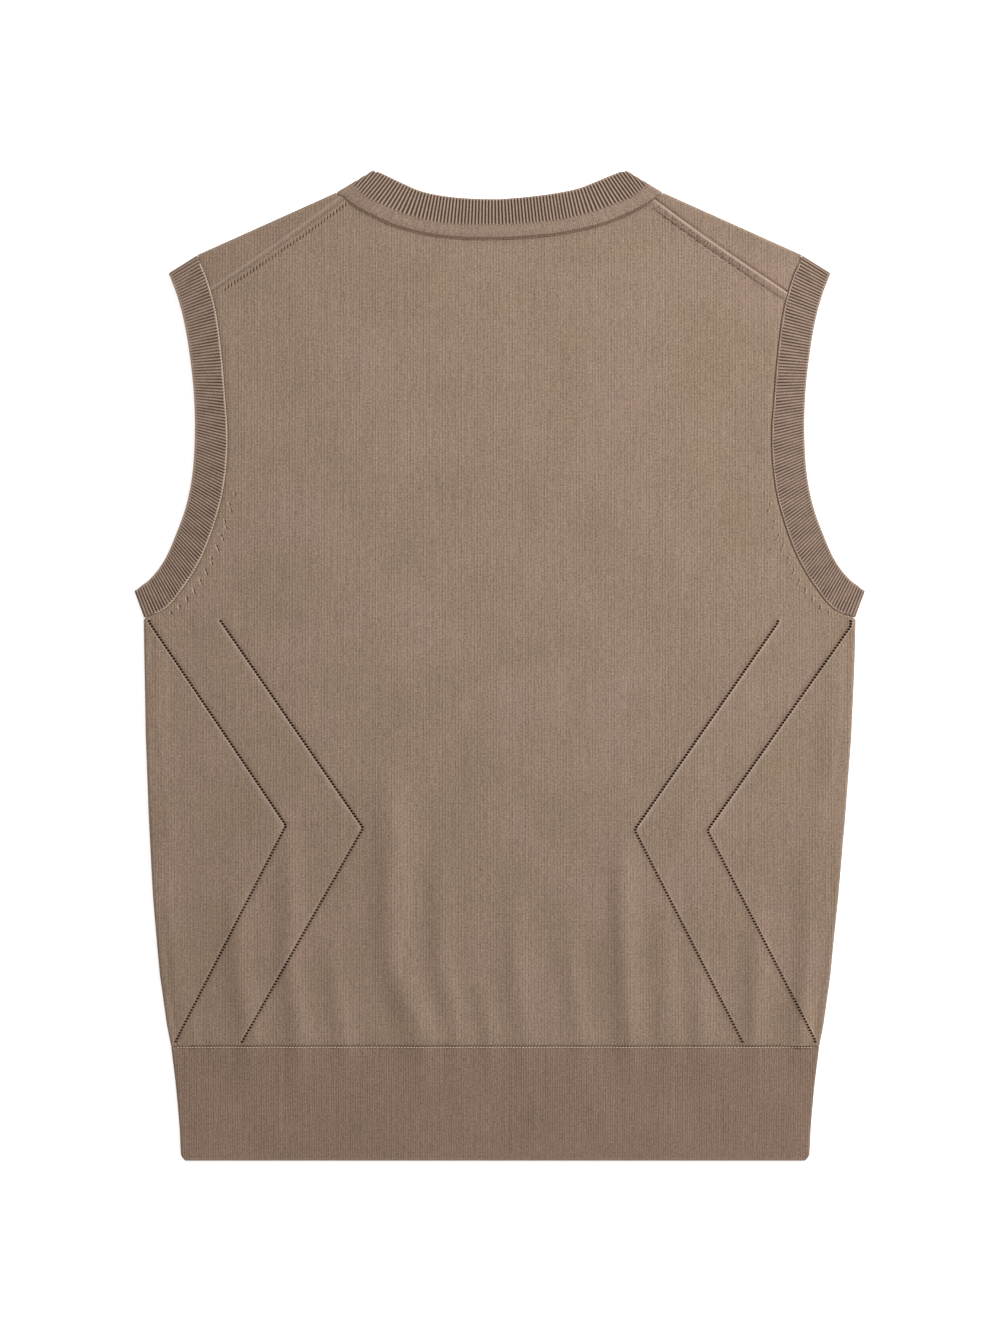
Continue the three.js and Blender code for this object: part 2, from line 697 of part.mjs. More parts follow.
// The garment
const jersey = new THREE.MeshStandardMaterial({ color: "#97816f", roughness: 0.95 });
const ribbing = new THREE.MeshStandardMaterial({ color: "#84705f", roughness: 0.95 });

const garment = new THREE.Group();
garment.name = "sweater_vest";

function add(name, geometry, material) {
  const mesh = new THREE.Mesh(geometry, material);
  mesh.name = name;
  garment.add(mesh);
}

add("back_panel", makeBack(), jersey);
add("front_panel", makeFront(), jersey);
add("neckband", makeNeckband(), ribbing);
add("armband_left", makeArmband(-1), ribbing);
add("armband_right", makeArmband(1), ribbing);
add("hem_band", makeHem(), ribbing);

export default garment;
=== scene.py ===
"""Looks for a knitted sweater vest that lies flat with its back up.

The shapes are worked out in millimetres, with x to the viewer's right, y up to the neck and z up off
the floor, and they are the shapes of the CAD solids with a finer surface. They are turned into
metres when a mesh is made.
"""

import math

import bpy
import numpy as np
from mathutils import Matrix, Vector


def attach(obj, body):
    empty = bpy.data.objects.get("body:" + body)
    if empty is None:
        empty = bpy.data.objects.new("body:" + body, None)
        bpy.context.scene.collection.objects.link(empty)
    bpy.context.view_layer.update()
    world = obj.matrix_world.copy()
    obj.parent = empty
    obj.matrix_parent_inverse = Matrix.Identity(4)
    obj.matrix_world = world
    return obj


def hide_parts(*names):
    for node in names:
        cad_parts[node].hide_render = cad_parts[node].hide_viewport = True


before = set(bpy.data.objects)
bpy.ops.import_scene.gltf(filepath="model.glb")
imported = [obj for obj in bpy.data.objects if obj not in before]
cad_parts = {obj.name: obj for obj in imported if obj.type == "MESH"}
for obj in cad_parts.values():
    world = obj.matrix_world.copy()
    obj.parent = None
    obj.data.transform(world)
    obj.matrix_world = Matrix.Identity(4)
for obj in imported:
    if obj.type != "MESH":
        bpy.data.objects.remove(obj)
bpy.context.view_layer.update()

MM = 0.001

# Driving sizes, as in the CAD
HEM_SEAM = -262.8
HEM_BOTTOM = -342.1
CLOTH = 1.3  # thickness of the back and front
BAND = 1.85  # and of the ribbed bands
HEM_WALL = 1.6
GAP = 0.3  # between two pieces at a seam
FOLD = 2.0  # radius of the shoulder and underarm folds
HEM_FOLD = 1.8
SIDE_FOLD = 2.3
REST = 2.9  # the back's upper face where it lies low
SEAM_TOP = 3.55  # and beside seams and bands
STRIP_TOP = 3.7  # top of the neckband's plain strip
LEAN = -3.1  # how far the lower body lies to the side
SIDE_TOP = 31.4  # the straight side ends here, and turns in to the armhole's corner
NECK_SKEW = 1.0  # the neck's right half lies this much higher and its left half lower
SHOULDER_OUT = np.array([0.535, 0.845])  # the way out over the right shoulder's fold
UNDERARM_OUT = np.array([0.937, -0.348])  # and over the right underarm's
NECK_SEAM_T = 0.06  # share of the way along the neckband where a shoulder seam meets it
ARM_SEAM_T = 0.1  # and along the armband

# Ribs: their spacing, how many, how far those by the shoulder folds lean, how deep the groove
# between them is, and rows of mesh to each
NECK_PITCH = 2.2
ARM_PITCH = 2.08
ARM_RIBS = 120
BACK_NECK_RIBS = 84
FRONT_NECK_RIBS = 102
NECK_TILT = 0.26
NECK_GROOVE = 0.9
ARM_GROOVE = 0.8
RIB_ROWS = 8
UNDER_ROWS = 4  # rows to each rib on the layer underneath
BEND_STEPS = 24  # steps of a band round its fold

# Width of the ridge under the right shoulder seam
RIDGE = 5.0

# Knit of the body: width of a column of stitches and height of a stitch. The real ones are about
# 1.6 and 1.1 mm, too fine to show in the picture, so they are drawn coarser.
WALE = 2.2
COURSE = 1.5
HEM_WALE = 1.66
HEM_COURSE = 1.6
YARN_PITCH = 0.8  # of the twist in a sewing yarn

# Half width of the body: y, half
SIDE = np.array([
    (51.5, 252.5), (32.4, 245.8), (7.0, 245.3), (-48.2, 243.6), (-103.4, 240.5), (-158.6, 236.7),
    (-213.8, 231.5), (-248.3, 226.7), (-262.8, 223.8), (-289.7, 220.5), (-317.3, 218.0),
    (-338.5, 217.0), (-342.1, 214.3),
])

# Right armhole from the shoulder fold down: open edge x y, seam edge x y
ARMHOLE = np.array([
    (228.9, 270.6, 209.1, 283.0), (223.5, 257.7, 202.4, 268.0), (218.4, 239.7, 196.4, 247.0),
    (214.3, 216.6, 192.4, 219.9), (211.2, 188.7, 189.5, 187.1), (210.4, 160.6, 187.7, 154.2),
    (212.0, 132.6, 190.6, 121.5), (216.5, 109.6, 197.6, 95.0), (223.6, 89.8, 206.8, 72.1),
    (231.3, 72.7, 218.3, 53.4), (241.2, 59.7, 230.7, 38.8), (252.5, 51.5, 245.6, 32.7),
])

# Right half of the back neck from the shoulder fold to the middle: open edge, foot of the ribs, seam
BACK_NECK = np.array([
    (86.9, 342.1, 101.9, 332.9, 112.7, 326.4), (77.0, 337.8, 92.8, 323.8, 101.0, 318.0),
    (66.2, 333.0, 79.9, 318.0, 87.4, 310.7), (53.7, 328.0, 64.6, 312.2, 70.9, 303.9),
    (36.0, 324.5, 43.5, 306.9, 47.6, 298.3), (18.0, 322.6, 21.8, 304.9, 23.9, 295.5),
    (0.0, 321.7, 0.0, 304.4, 0.0, 294.8),
])

# Right half of the V neck of the hidden front: open edge, seam edge
FRONT_NECK = np.array([
    (86.9, 342.1, 112.7, 326.4), (83.5, 315.0, 109.6, 310.4), (76.0, 285.0, 101.2, 276.8),
    (62.0, 250.0, 84.9, 236.8), (31.0, 196.0, 50.0, 176.1), (0.0, 142.0, 0.0, 89.0),
])

# Soft upright folds over the hem: x at the hem, x 70 mm higher, rise, width, top
FOLDS = [
    (-210.3, -222.0, 0.7, 4, -205), (-199.0, -210.0, 0.7, 3.5, -222), (-172.3, -181.0, 1.25, 8, -125),
    (-139.5, -145.0, 1.2, 7, -90), (-108.5, -116.0, 0.85, 6, -170), (-55.0, -75.0, 1.6, 11, -55),
    (-30.0, -41.0, 0.9, 7, -110), (-7.7, -16.0, 0.7, 5, -195), (15.7, 11.0, 0.8, 8, -140),
    (55.4, 48.0, 0.8, 7, -150), (89.5, 85.5, 1.5, 8, -95), (116.0, 114.0, 0.8, 8, -135),
    (140.0, 137.0, 0.7, 7, -160), (175.5, 178.0, 1.15, 7, -145), (209.0, 212.0, 0.8, 7, -80),
]

FOLD_LIFT = 2.3  # how much every rise in that table is raised

# Shallow creases in the rest of the back: start x y, end x y, width, rise (a trough is negative)
CREASES = [
    (168, 165, 121, 100, 9, -0.32), (150, 170, 128, 128, 8, 0.22), (-170, 262, -138, 232, 6, -0.35),
    (-158, 268, -128, 240, 5, 0.3), (-185, 236, -168, 205, 7, -0.25), (-176, 60, -120, 34, 12, 0.22),
    (190, 66, 150, 30, 12, 0.25), (60, 262, 22, 236, 11, -0.2), (-52, 268, -20, 240, 10, 0.18),
    (-236, -60, -228, -150, 7, 0.35), (232, -30, 226, -140, 7, 0.35), (-70, 120, -98, 20, 16, 0.2),
    (84, 90, 108, -30, 16, -0.2), (8, 150, 16, 30, 18, 0.16), (-200, -20, -186, -120, 12, -0.2),
    (205, -60, 196, -150, 12, -0.2), (30, -30, 24, -120, 14, 0.18), (-30, -40, -44, -130, 13, -0.18),
]

# Sharper lines pressed into the hem: x, top y, bottom y, width, rise
HEM_CREASES = [
    (-148.8, -264, -330, 1.6, -0.4), (153.4, -296, -336, 1.6, -0.35), (121.6, -270, -325, 1.8, -0.3),
    (-151.5, -264, -332, 1.8, 0.3), (-60, -270, -318, 2.4, -0.2), (30, -268, -312, 2.4, -0.18),
]

# Fashioning marks beside the left armhole: x y
FASHIONING = np.array([
    (-182.5, 118.5), (-185.0, 106.5), (-188.5, 95.0), (-190.8, 87.0), (-194.2, 80.0), (-198.5, 70.5),
    (-202.0, 63.5), (-205.8, 56.5), (-210.5, 50.5), (-215.5, 45.0), (-221.0, 39.5), (-227.0, 36.5),
])

# Lines of eyelets: x y at the armhole, at the point and at the hem
EYELETS = [
    [(-243.4, 31.9), (-147.5, -110.6), (-224.5, -261.2)],
    [(-193.3, 31.5), (-94.3, -112.3), (-178.5, -261.2)],
    [(192.0, 29.5), (93.0, -113.6), (168.7, -262.5)],
    [(244.1, 29.8), (143.3, -114.0), (218.8, -261.2)],
]
EYELET_SIDES = (-1, -1, 1, 1)
EYELET_STRIP = 2.5  # width of the column of mesh that holds a line
EYELET_MARGIN = 3.6  # a line's least distance from the side
EYELET_ACROSS = 1.1  # half the width of an eyelet
EYELET_ALONG = 0.76  # half its height
EYELET_POINT = -112.6  # mean height of the lines' points
LOWER_EYELETS = 76  # rows of cells below the points
UPPER_EYELETS = 79  # and above them, up to the underarm


# Small tools
def mix(a, b, t):
    return a + (b - a) * t


def smooth(t):
    """Rises softly from 0 to 1 while t does: t squared times (3 - 2 t)."""
    t = np.clip(t, 0, 1)
    return t * t * (3 - 2 * t)


def bell(d, width):
    """A bell curve: e to the minus (d / width) squared."""
    return np.exp(-((d / width) ** 2))


def unit(vectors):
    """Each vector of the last axis at length one."""
    return vectors / np.linalg.norm(vectors, axis=-1, keepdims=True)


def distance_along(path):
    """Distance from a path's first point to each of its points."""
    steps = np.linalg.norm(np.diff(path, axis=0), axis=1)
    return np.concatenate([[0], np.cumsum(steps)])


def raised(flat, level):
    """Plan points at a height, the same for all or one for each."""
    return np.column_stack([flat, np.broadcast_to(level, len(flat))])


def linear(hex_colour):
    """An sRGB hex colour as linear RGBA."""
    parts = [int(hex_colour[k : k + 2], 16) / 255 for k in (1, 3, 5)]
    return (*[p / 12.92 if p <= 0.04045 else ((p + 0.055) / 1.055) ** 2.4 for p in parts], 1.0)


def track(rows, t, pair):
    """Point at share t of the way along a table: a smooth curve through the rows, with the share
    measured by the distance between the first two columns, and each slope the run from the row
    before to the row after."""
    knots = distance_along(rows[:, :2])
    last = len(rows) - 1
    k = np.arange(last + 1)
    before, after = np.maximum(k - 1, 0), np.minimum(k + 1, last)
    slopes = (rows[after] - rows[before]) / (knots[after] - knots[before])[:, None]
    along = np.clip(np.asarray(t, float), 0, 1) * knots[last]
    i = np.clip(np.searchsorted(knots, along, side="left") - 1, 0, last - 1)
    span = knots[i + 1] - knots[i]
    s = (along - knots[i]) / span
    weights = [
        2 * s**3 - 3 * s**2 + 1, (s**3 - 2 * s**2 + s) * span, 3 * s**2 - 2 * s**3, (s**3 - s**2) * span,
    ]
    values = [rows[i], slopes[i], rows[i + 1], slopes[i + 1]]
    point = sum(w[..., None] * v for w, v in zip(weights, values))
    return point[..., 2 * pair : 2 * pair + 2]


def lean(y):
    """How far the body lies to the side at height y."""
    return LEAN * smooth((30 - y) / 240)


def side_half(y):
    return np.interp(y, SIDE[::-1, 0], SIDE[::-1, 1])


def side_radius(y):
    """Radius of the soft fold down the side: 1.8 at the hem to 2.0 higher up, and 2.3 between."""
    up = smooth((y - HEM_SEAM) / 70)
    down = smooth((34 - y) / 60)
    return mix(mix(HEM_FOLD, FOLD, smooth((y + 180) / 200)), SIDE_FOLD, up * down)


def drawn_in(point, t, reach, out):
    """A band's point at share t from a fold, drawn in by the fold's radius within reach of it."""
    return point - (FOLD * (1 - smooth(t / reach)))[..., None] * out


def arm_point(t, pair, side):
    """Point of an armband at share t, drawn in at both folds. pair is 0 on the open edge, 1 on the
    seam edge."""
    t = np.asarray(t, float)
    point = drawn_in(track(ARMHOLE, t, pair), t, 0.04, SHOULDER_OUT)
    return drawn_in(point, 1 - t, 0.03, UNDERARM_OUT) * [side, 1]


def neck_point(t, pair, side):
    """Point of the back neckband: pair is 0 on the open edge, 1 at the foot of the ribs, 2 on the
    seam edge."""
    t = np.asarray(t, float)
    point = drawn_in(track(BACK_NECK, t, pair), t, 0.045, SHOULDER_OUT)
    point[..., 1] += side * NECK_SKEW * np.sin(np.pi * np.clip(t, 0, 1))
    return point * [side, 1]


def front_point(t, pair, side):
    """Point of the front neckband: pair is 0 on the open edge, 1 on the seam edge."""
    t = np.asarray(t, float)
    return drawn_in(track(FRONT_NECK, t, pair), t, 0.06, SHOULDER_OUT) * [side, 1]


def panel_edge(curve, t, seam_pair, side):
    """The edge of a panel beside a band: the seam edge moved on by the gap."""
    edge, seam = curve(t, 0, side), curve(t, seam_pair, side)
    return seam + GAP * unit(seam - edge)


def seam_sag(side, share):
    """How far a shoulder seam hangs below its straight line: most on the right, toward the neck."""
    share = np.asarray(share, float)
    return (1.2 if side > 0 else 0.9) * np.sin(np.pi * share**0.8)


def shoulder_seam(side, share, shift):
    """Point on a shoulder seam, share of the way from neckband to armband."""
    start = panel_edge(neck_point, NECK_SEAM_T, 2, side)
    end = panel_edge(arm_point, ARM_SEAM_T, 1, side)
    share = np.asarray(share, float)[..., None]
    return mix(start, end, share) + (shift - seam_sag(side, share)) * SHOULDER_OUT * [side, 1]


def shoulder_axis(side):
    """The ends of a shoulder's fold line, at the neckband and at the armband."""
    return panel_edge(neck_point, 0.0, 2, side), panel_edge(arm_point, 0.0, 1, side)


def folds(x, y):
    """Height of the upright folds: each is a bell across its crest line that fades out upward and
    over the hem seam."""
    rise = np.zeros(np.broadcast(x, y).shape)
    for hem_x, mid_x, height, width, top in FOLDS:
        crest = mix(hem_x, mid_x, smooth((y - HEM_SEAM) / 70))
        fade = smooth((top - y) / 70) * (1 - 0.75 * smooth((HEM_SEAM + 14 - y) / 30))
        rise = rise + FOLD_LIFT * height * fade * bell(x - crest, width)
    return rise * smooth((y - HEM_SEAM + 55) / 50)


def creases(x, y):
    """Height of the shallow creases: each is a bell across a straight line, uneven along it, and
    fades out toward its two ends."""
    rise = np.zeros(np.broadcast(x, y).shape)
    for x0, y0, x1, y1, width, height in CREASES:
        run = math.hypot(x1 - x0, y1 - y0)
        along = ((x - x0) * (x1 - x0) + (y - y0) * (y1 - y0)) / run**2
        off = ((x - x0) * (y1 - y0) - (y - y0) * (x1 - x0)) / run
        bend = 0.12 * width * np.sin(7 * along + x0)
        fade = smooth((along + 0.15) / 0.4) * smooth((1.15 - along) / 0.5)
        rise = rise + height * fade * bell(off + bend, width * (0.8 + 0.4 * np.clip(along, 0, 1)))
    return rise


def hem_lines(x, y):
    """Height of the sharper lines pressed into the hem."""
    rise = np.zeros(np.broadcast(x, y).shape)
    for at, top, bottom, width, height in HEM_CREASES:
        fade = smooth((top - y) / 8) * smooth((y - bottom) / 14)
        rise = rise + height * fade * bell(x - at - 0.01 * (y + 300), width)
    return rise


def ripple(x, y):
    """The uneven lie of soft knit: the sum of a few long crossed waves, under 0.15 mm high."""
    return (
        0.06 * np.sin(x / 23 + 1.3 * np.sin(y / 61)) * np.sin(y / 47 + 0.6)
        + 0.05 * np.sin((x + 0.7 * y) / 17 + np.sin(x / 39))
        + 0.04 * np.sin((x - 0.5 * y) / 11.3 + 2 * np.sin(y / 83))
    )


def rib(phase):
    """Profile across ribs, one to each whole phase: 0 on the rounded crest, 1 in the narrow groove
    halfway."""
    return np.abs(np.sin(np.pi * phase)) ** 2.2


# Meshes
def grid_quads(rows, columns, closed=False):
    """The four-cornered faces of a grid of points, row by row. A closed one joins up both ways."""
    spans = [np.arange(count if closed else count - 1) for count in (rows, columns)]
    i, j = [g.ravel() for g in np.meshgrid(*spans, indexing="ij")]
    down, right = (i + 1) % rows, (j + 1) % columns
    return np.stack([i * columns + j, i * columns + right, down * columns + right, down * columns + j], 1)


def borders(faces, count):
    """The directed edges that only one face uses."""
    edges = np.concatenate([np.stack([f.ravel(), np.roll(f, -1, axis=1).ravel()], 1) for f in faces])
    code, reverse = edges[:, 0] * count + edges[:, 1], edges[:, 1] * count + edges[:, 0]
    return edges[~np.isin(code, reverse)]


def wall(outer, inner, faces):
    """A closed wall between two layers that have the same faces. Every open border is closed."""
    count = len(outer)
    start, end = borders(faces, count).T
    rim = np.stack([end, start, start + count, end + count], 1)
    return np.concatenate([outer, inner]), [*faces, *[f[:, ::-1] + count for f in faces], rim]


def volume(points, faces):
    total = 0.0
    for face in faces:
        for k in range(1, face.shape[1] - 1):
            a, b, c = points[face[:, 0]], points[face[:, k]], points[face[:, k + 1]]
            total += float((a * np.cross(b, c)).sum())
    return total


def stitch_counts(points, wale, course):
    """The column and the row of stitches that each point lies in, for knits of one pitch all over."""
    return {"wale": points[:, 0] / wale, "course": points[:, 1] / course}


def make_piece(name, points, faces, material, attributes, sharp=50):
    """An object from points in millimetres and arrays of faces, turned outward, with one number a
    point for each attribute."""
    if volume(points, faces) < 0:
        faces = [f[:, ::-1] for f in faces]
    mesh = bpy.data.meshes.new(name)
    mesh.from_pydata((points * MM).tolist(), [], [row for f in faces for row in f.tolist()])
    for key, values in attributes.items():
        layer = mesh.attributes.new(key, "FLOAT", "POINT")
        layer.data.foreach_set("value", np.broadcast_to(values, len(points)).astype(np.float32))
    mesh.polygons.foreach_set("use_smooth", np.ones(len(mesh.polygons), bool))
    mesh.set_sharp_from_angle(angle=math.radians(sharp))
    mesh.materials.append(material)
    piece = bpy.data.objects.new(name, mesh)
    bpy.context.scene.collection.objects.link(piece)
    return piece


def yarn_bits(places, directions, length, radius):
    """Small stitches as one joined mesh. Each is a flattened spindle of four sides at a place, along
    its own flat direction: a tip, three rings of four points and a tip."""
    squash = 0.7
    count = len(places)
    along = np.array([-0.5, -0.3, 0.05, 0.32, 0.5])
    girth = np.array([0.0, 0.8, 1.0, 0.75, 0.0])
    across = np.stack([-directions[:, 1], directions[:, 0]], 1)
    rings = []
    for share, wide in zip(along, girth):
        sides = 1 if wide == 0 else 4
        for side in range(sides):
            turn = math.pi / 2 * side
            flat = directions * length * share + across * radius * wide * math.cos(turn)
            rings.append(raised(flat, squash * radius * wide * math.sin(turn)))
    points = (places[:, None, :] + np.stack(rings, 1)).reshape(-1, 3)
    triangles, quads = [], []
    for side in range(4):
        then = (side + 1) % 4
        triangles += [(0, 1 + then, 1 + side), (13, 9 + side, 9 + then)]
        quads += [(1 + side, 1 + then, 5 + then, 5 + side), (5 + side, 5 + then, 9 + then, 9 + side)]
    shift = 14 * np.arange(count)[:, None, None]
    return points, [(np.array(f) + shift).reshape(-1, len(f[0])) for f in (quads, triangles)]


def spaced(path, spacing, start=0.5):
    """Places every spacing mm along a path of points, and the direction of the path there."""
    length = distance_along(path)
    count = max(1, int(length[-1] / spacing - start))
    at = spacing * (start + np.arange(count))
    places, ahead, behind = [
        np.stack([np.interp(at + shift, length, column) for column in path.T], 1) for shift in (0, 0.3, -0.3)
    ]
    return places, unit((ahead - behind)[:, :2])


def turned(directions, degrees):
    """Flat directions turned anticlockwise."""
    c, s = math.cos(math.radians(degrees)), math.sin(math.radians(degrees))
    return directions @ np.array([[c, s], [-s, c]])


# Materials
def set_inputs(node, values):
    """Sets a node's own inputs, by name."""
    for key, value in values.items():
        node.inputs[key].default_value = value


def knit(name, colour, groove_and_shade, pale, bump, mottle=0.08, streak=0.75, furrow=0.3):
    """Knitted yarn, matte and a little fuzzy. The stitches are V-shaped bumps in the columns and rows
    that the wale and course attributes count, bump mm high. The tone is 1 plus a cloud of mottle,
    streaks up the columns and painted shade in the furrows between them. The shade attribute
    darkens toward the groove_and_shade colour, mostly as painted shade, and the pale attribute
    lightens, mostly as painted highlight. A noise's scale is per stitch where it runs on wale and
    course, and per metre on the piece: 38 is clouds of about 26 mm, and 17 of 60 mm."""
    material = bpy.data.materials.new(name)
    material.use_nodes = True
    nodes, links = material.node_tree.nodes, material.node_tree.links
    shader = nodes["Principled BSDF"]
    set_inputs(shader, {
        "Roughness": 0.93, "Specular IOR Level": 0.12, "Sheen Weight": 0.12, "Sheen Roughness": 0.55,
    })

    def add(kind, inputs, output=0, **settings):
        """Adds a node with its settings. An input is a number, a colour, a socket to link, or a list:
        an operation and its own inputs."""
        node = nodes.new("ShaderNode" + kind)
        for key, value in settings.items():
            setattr(node, key, value)
        for key, value in inputs.items() if isinstance(inputs, dict) else enumerate(inputs):
            if isinstance(value, list):
                value = add("Math", value[1:], operation=value[0])
            if isinstance(value, (int, float, tuple)):
                node.inputs[key].default_value = value
            else:
                links.new(value, node.inputs[key])
        return node.outputs[output]

    wale, course, shaded, lightened = [
        add("Attribute", (), "Fac", attribute_name=key) for key in ("wale", "course", "shade", "pale")
    ]
    # How far across the column, from 0 in its middle to half on its border, and its two slanted legs
    off = add("Math", [["SUBTRACT", ["FRACT", wale], 0.5]], operation="ABSOLUTE")
    leg = add("Math", [["MULTIPLY", off, 2 * math.pi]], operation="SINE")
    loop = ["SINE", ["MULTIPLY", ["FRACT", ["ADD", course, ["MULTIPLY", off, 1.3]]], math.pi]]
    fibre = add("TexNoise", {"Vector": add("CombineXYZ", (wale, course)), "Scale": 2.6, "Detail": 2}, "Fac")
    height = ["ADD", ["MULTIPLY", leg, ["ADD", ["MULTIPLY", loop, 0.6], 0.4]], fibre]
    relief = add("Bump", {"Strength": 1.0, "Distance": bump * MM, "Height": height}, "Normal")
    links.new(relief, shader.inputs["Normal"])

    # What the tone is made of: a pattern, its middle value and how much it counts
    place = add("TexCoord", (), "Object")
    cloud = add("TexNoise", {"Vector": place, "Scale": 38, "Detail": 3}, "Fac")
    parts = [(cloud, 0.5, 2 * mottle)]
    for stretch, scale, weight in ((0.03, 1.1, 0.4), (0.14, 1.7, 0.6), (0.6, 1.9, 1.5)):
        vector = add("CombineXYZ", (wale, ["MULTIPLY", course, stretch]))
        line = add("TexNoise", {"Vector": vector, "Scale": scale, "Detail": 1}, "Fac")
        parts.append((line, 0.5, weight * streak))
    # The stitches' legs, and painted shade in the furrows between the columns
    parts += [(leg, 0.64, 0.22 * streak), (["POWER", ["MULTIPLY", off, 2.0], 3.0], 0.25, -furrow)]
    tone = 1.0
    for part, middle, amount in parts:
        tone = add("Math", (tone, ["MULTIPLY", ["SUBTRACT", part, middle], amount]), operation="ADD")

    # The colour: two hues in soft patches, toned, and then lightened or darkened where the mesh says,
    # mostly as painted highlight and painted shade
    patch = add("TexNoise", {"Vector": place, "Scale": 17, "Detail": 3}, "Fac")
    hue = ["ADD", ["MULTIPLY", ["SUBTRACT", patch, 0.5], 1.9], 0.5]
    hue = ["MINIMUM", ["MAXIMUM", hue, 0.0], 1.0]
    mixed = linear(colour[0])
    for mode, factor, other in (
        ("MIX", hue, linear(colour[1])), ("MULTIPLY", 1.0, add("CombineXYZ", (tone, tone, tone))),
        ("MIX", lightened, linear(pale)), ("MIX", shaded, linear(groove_and_shade)),
    ):
        inputs = {"Factor": factor, "A": mixed, "B": other}
        mixed = add("Mix", inputs, "Result", data_type="RGBA", blend_type=mode)
    links.new(mixed, shader.inputs["Base Color"])
    return material


# Fine jersey of combed yarn: an even, matte face with soft upright streaks. Its dark reddish-brown
# is the colour of painted shade at seams and in the eyelets
jersey = knit("fine_jersey_knit", ("#83705d", "#8b7567"), "#42200c", "#b09d8f", 0.2, furrow=0.22)
# One-by-one ribbing: painted highlight on its crests and painted reddish-brown shade in its grooves.
# The mesh has the grooves, so no furrows are drawn
ribbing = knit("ribbed_knit", ("#8c7767", "#937d6e"), "#33170a", "#c9b5a4", 0.14, 0.06, 0.85, 0.0)
# Double-bed welt: closer and a little darker, with fine upright lines
welt = knit("smooth_hem_welt", ("#7c6757", "#846d5f"), "#3b2418", "#a99584", 0.16, 0.06, 0.85, 0.5)
# Sewing yarn: plain matte strands in the cloth's colour, and copies with painted shade, for yarn in
# shadow, and with a painted highlight, for yarn catching the light
seam_yarn = knit("linking_yarn", ("#6b5747", "#735d4e"), "#2e2019", "#8a7464", 0.1, 0.1, 0.2)
dark_yarn = knit("shadowed_yarn", ("#4a3123", "#523829"), "#2e2019", "#8a7464", 0.1, 0.1, 0.2)
lit_yarn = knit("lit_yarn_painted_highlight", ("#bba693", "#c1ac9b"), "#5a463a", "#c6b2a1", 0.1, 0.08, 0.2)


# Back panel
def spread(start, end, count):
    """Columns from start to just before end, evenly spaced, for arrays of row values."""
    return start[:, None] + (end - start)[:, None] * np.arange(count) / count


def back_plan():
    """Plan of the back: rows by columns of x y, the column of each eyelet line and the row of the
    underarm corner. Each row of cells below the corner is as high as one eyelet."""
    corner = panel_edge(arm_point, 1.0, 1, 1)
    y = np.concatenate([
        np.linspace(HEM_SEAM + GAP / 2, EYELET_POINT, LOWER_EYELETS + 1)[:-1],
        np.linspace(EYELET_POINT, corner[1], UPPER_EYELETS + 1),
    ])
    turned_in = mix(side_half(SIDE_TOP), corner[0], (y - SIDE_TOP) / (corner[1] - SIDE_TOP))
    half = np.where(y > SIDE_TOP, turned_in, side_half(y))
    radius = side_radius(y)
    edges = [-half + lean(y), half + lean(y)]
    degrees = np.radians([90, 75, 60, 45, 30, 15])  # the columns' turns round the side fold
    keys = [edges[0] + radius]
    for path in EYELETS:
        path = np.array(path)[::-1]
        centre = np.interp(y, path[:, 1], path[:, 0])
        centre = np.clip(centre, edges[0] + EYELET_MARGIN, edges[1] - EYELET_MARGIN)
        keys += [centre - EYELET_STRIP / 2, centre + EYELET_STRIP / 2]
    keys.append(edges[1] - radius)
    counts = [18, 1, 14, 1, 90, 1, 14, 1, 18]  # columns from side to side; an eyelet line has one
    blocks = [edges[0][:, None] + radius[:, None] * (1 - np.sin(degrees))]
    for k, count in enumerate(counts):
        blocks.append(spread(keys[k], keys[k + 1], count))
    bend = edges[1][:, None] - radius[:, None] * (1 - np.sin(np.concatenate([[0], degrees[::-1]])))
    x = np.concatenate([*blocks, bend], axis=1)
    lower = np.stack([x, np.broadcast_to(y[:, None], x.shape)], 2)
    first = [len(degrees) + sum(counts[: k + 1]) for k in (0, 2, 4, 6)]

    # Above the corner: shares of the half width, eased from the corner row to the upper edge
    share = x[-1] / corner[0]
    top_corner = shoulder_seam(1, 1.0, -GAP / 2)
    neck_corner = abs(shoulder_seam(1, 0.0, -GAP / 2)[0])
    part = neck_corner / top_corner[0]
    key = np.where(x[-1] < 0, -x[-1][first[1] + 1], x[-1][first[2]]) / corner[0]
    size = np.abs(share)
    top_share = np.where(size < key, size / key * part, part + (size - key) / (1 - key) * (1 - part))
    top_share = top_share * np.sign(share)
    # Rows up to the upper edge, closer near both ends
    rise = np.concatenate([0.955 * (np.arange(1, 55) / 54) ** 1.3, 0.955 + 0.045 * np.arange(1, 25) / 24])
    edge = panel_edge(arm_point, np.linspace(1, ARM_SEAM_T, 400), 1, 1)
    edge[-1] = top_corner
    edge_y = mix(corner[1], top_corner[1], rise)
    reach = np.interp(edge_y, edge[:, 1], edge[:, 0])
    top_x = top_share * top_corner[0]
    top_y = np.zeros_like(top_x)
    for side in (-1, 1):
        mine = top_x * side >= 0
        neck = panel_edge(neck_point, np.linspace(1, NECK_SEAM_T, 200), 2, side)
        seam = shoulder_seam(side, np.array([0.0, 1.0]), -GAP / 2)
        line = np.concatenate([neck[:-1], seam])
        top_y[mine] = np.interp(np.abs(top_x[mine]), np.abs(line[:, 0]), line[:, 1])
    ease = smooth(rise)[:, None]
    upper_x = reach[:, None] * mix(share, top_share, ease)
    upper_y = corner[1] + rise[:, None] * (top_y - corner[1])
    upper = np.stack([upper_x, upper_y], 2)
    return np.concatenate([lower, upper]), first, len(y) - 1


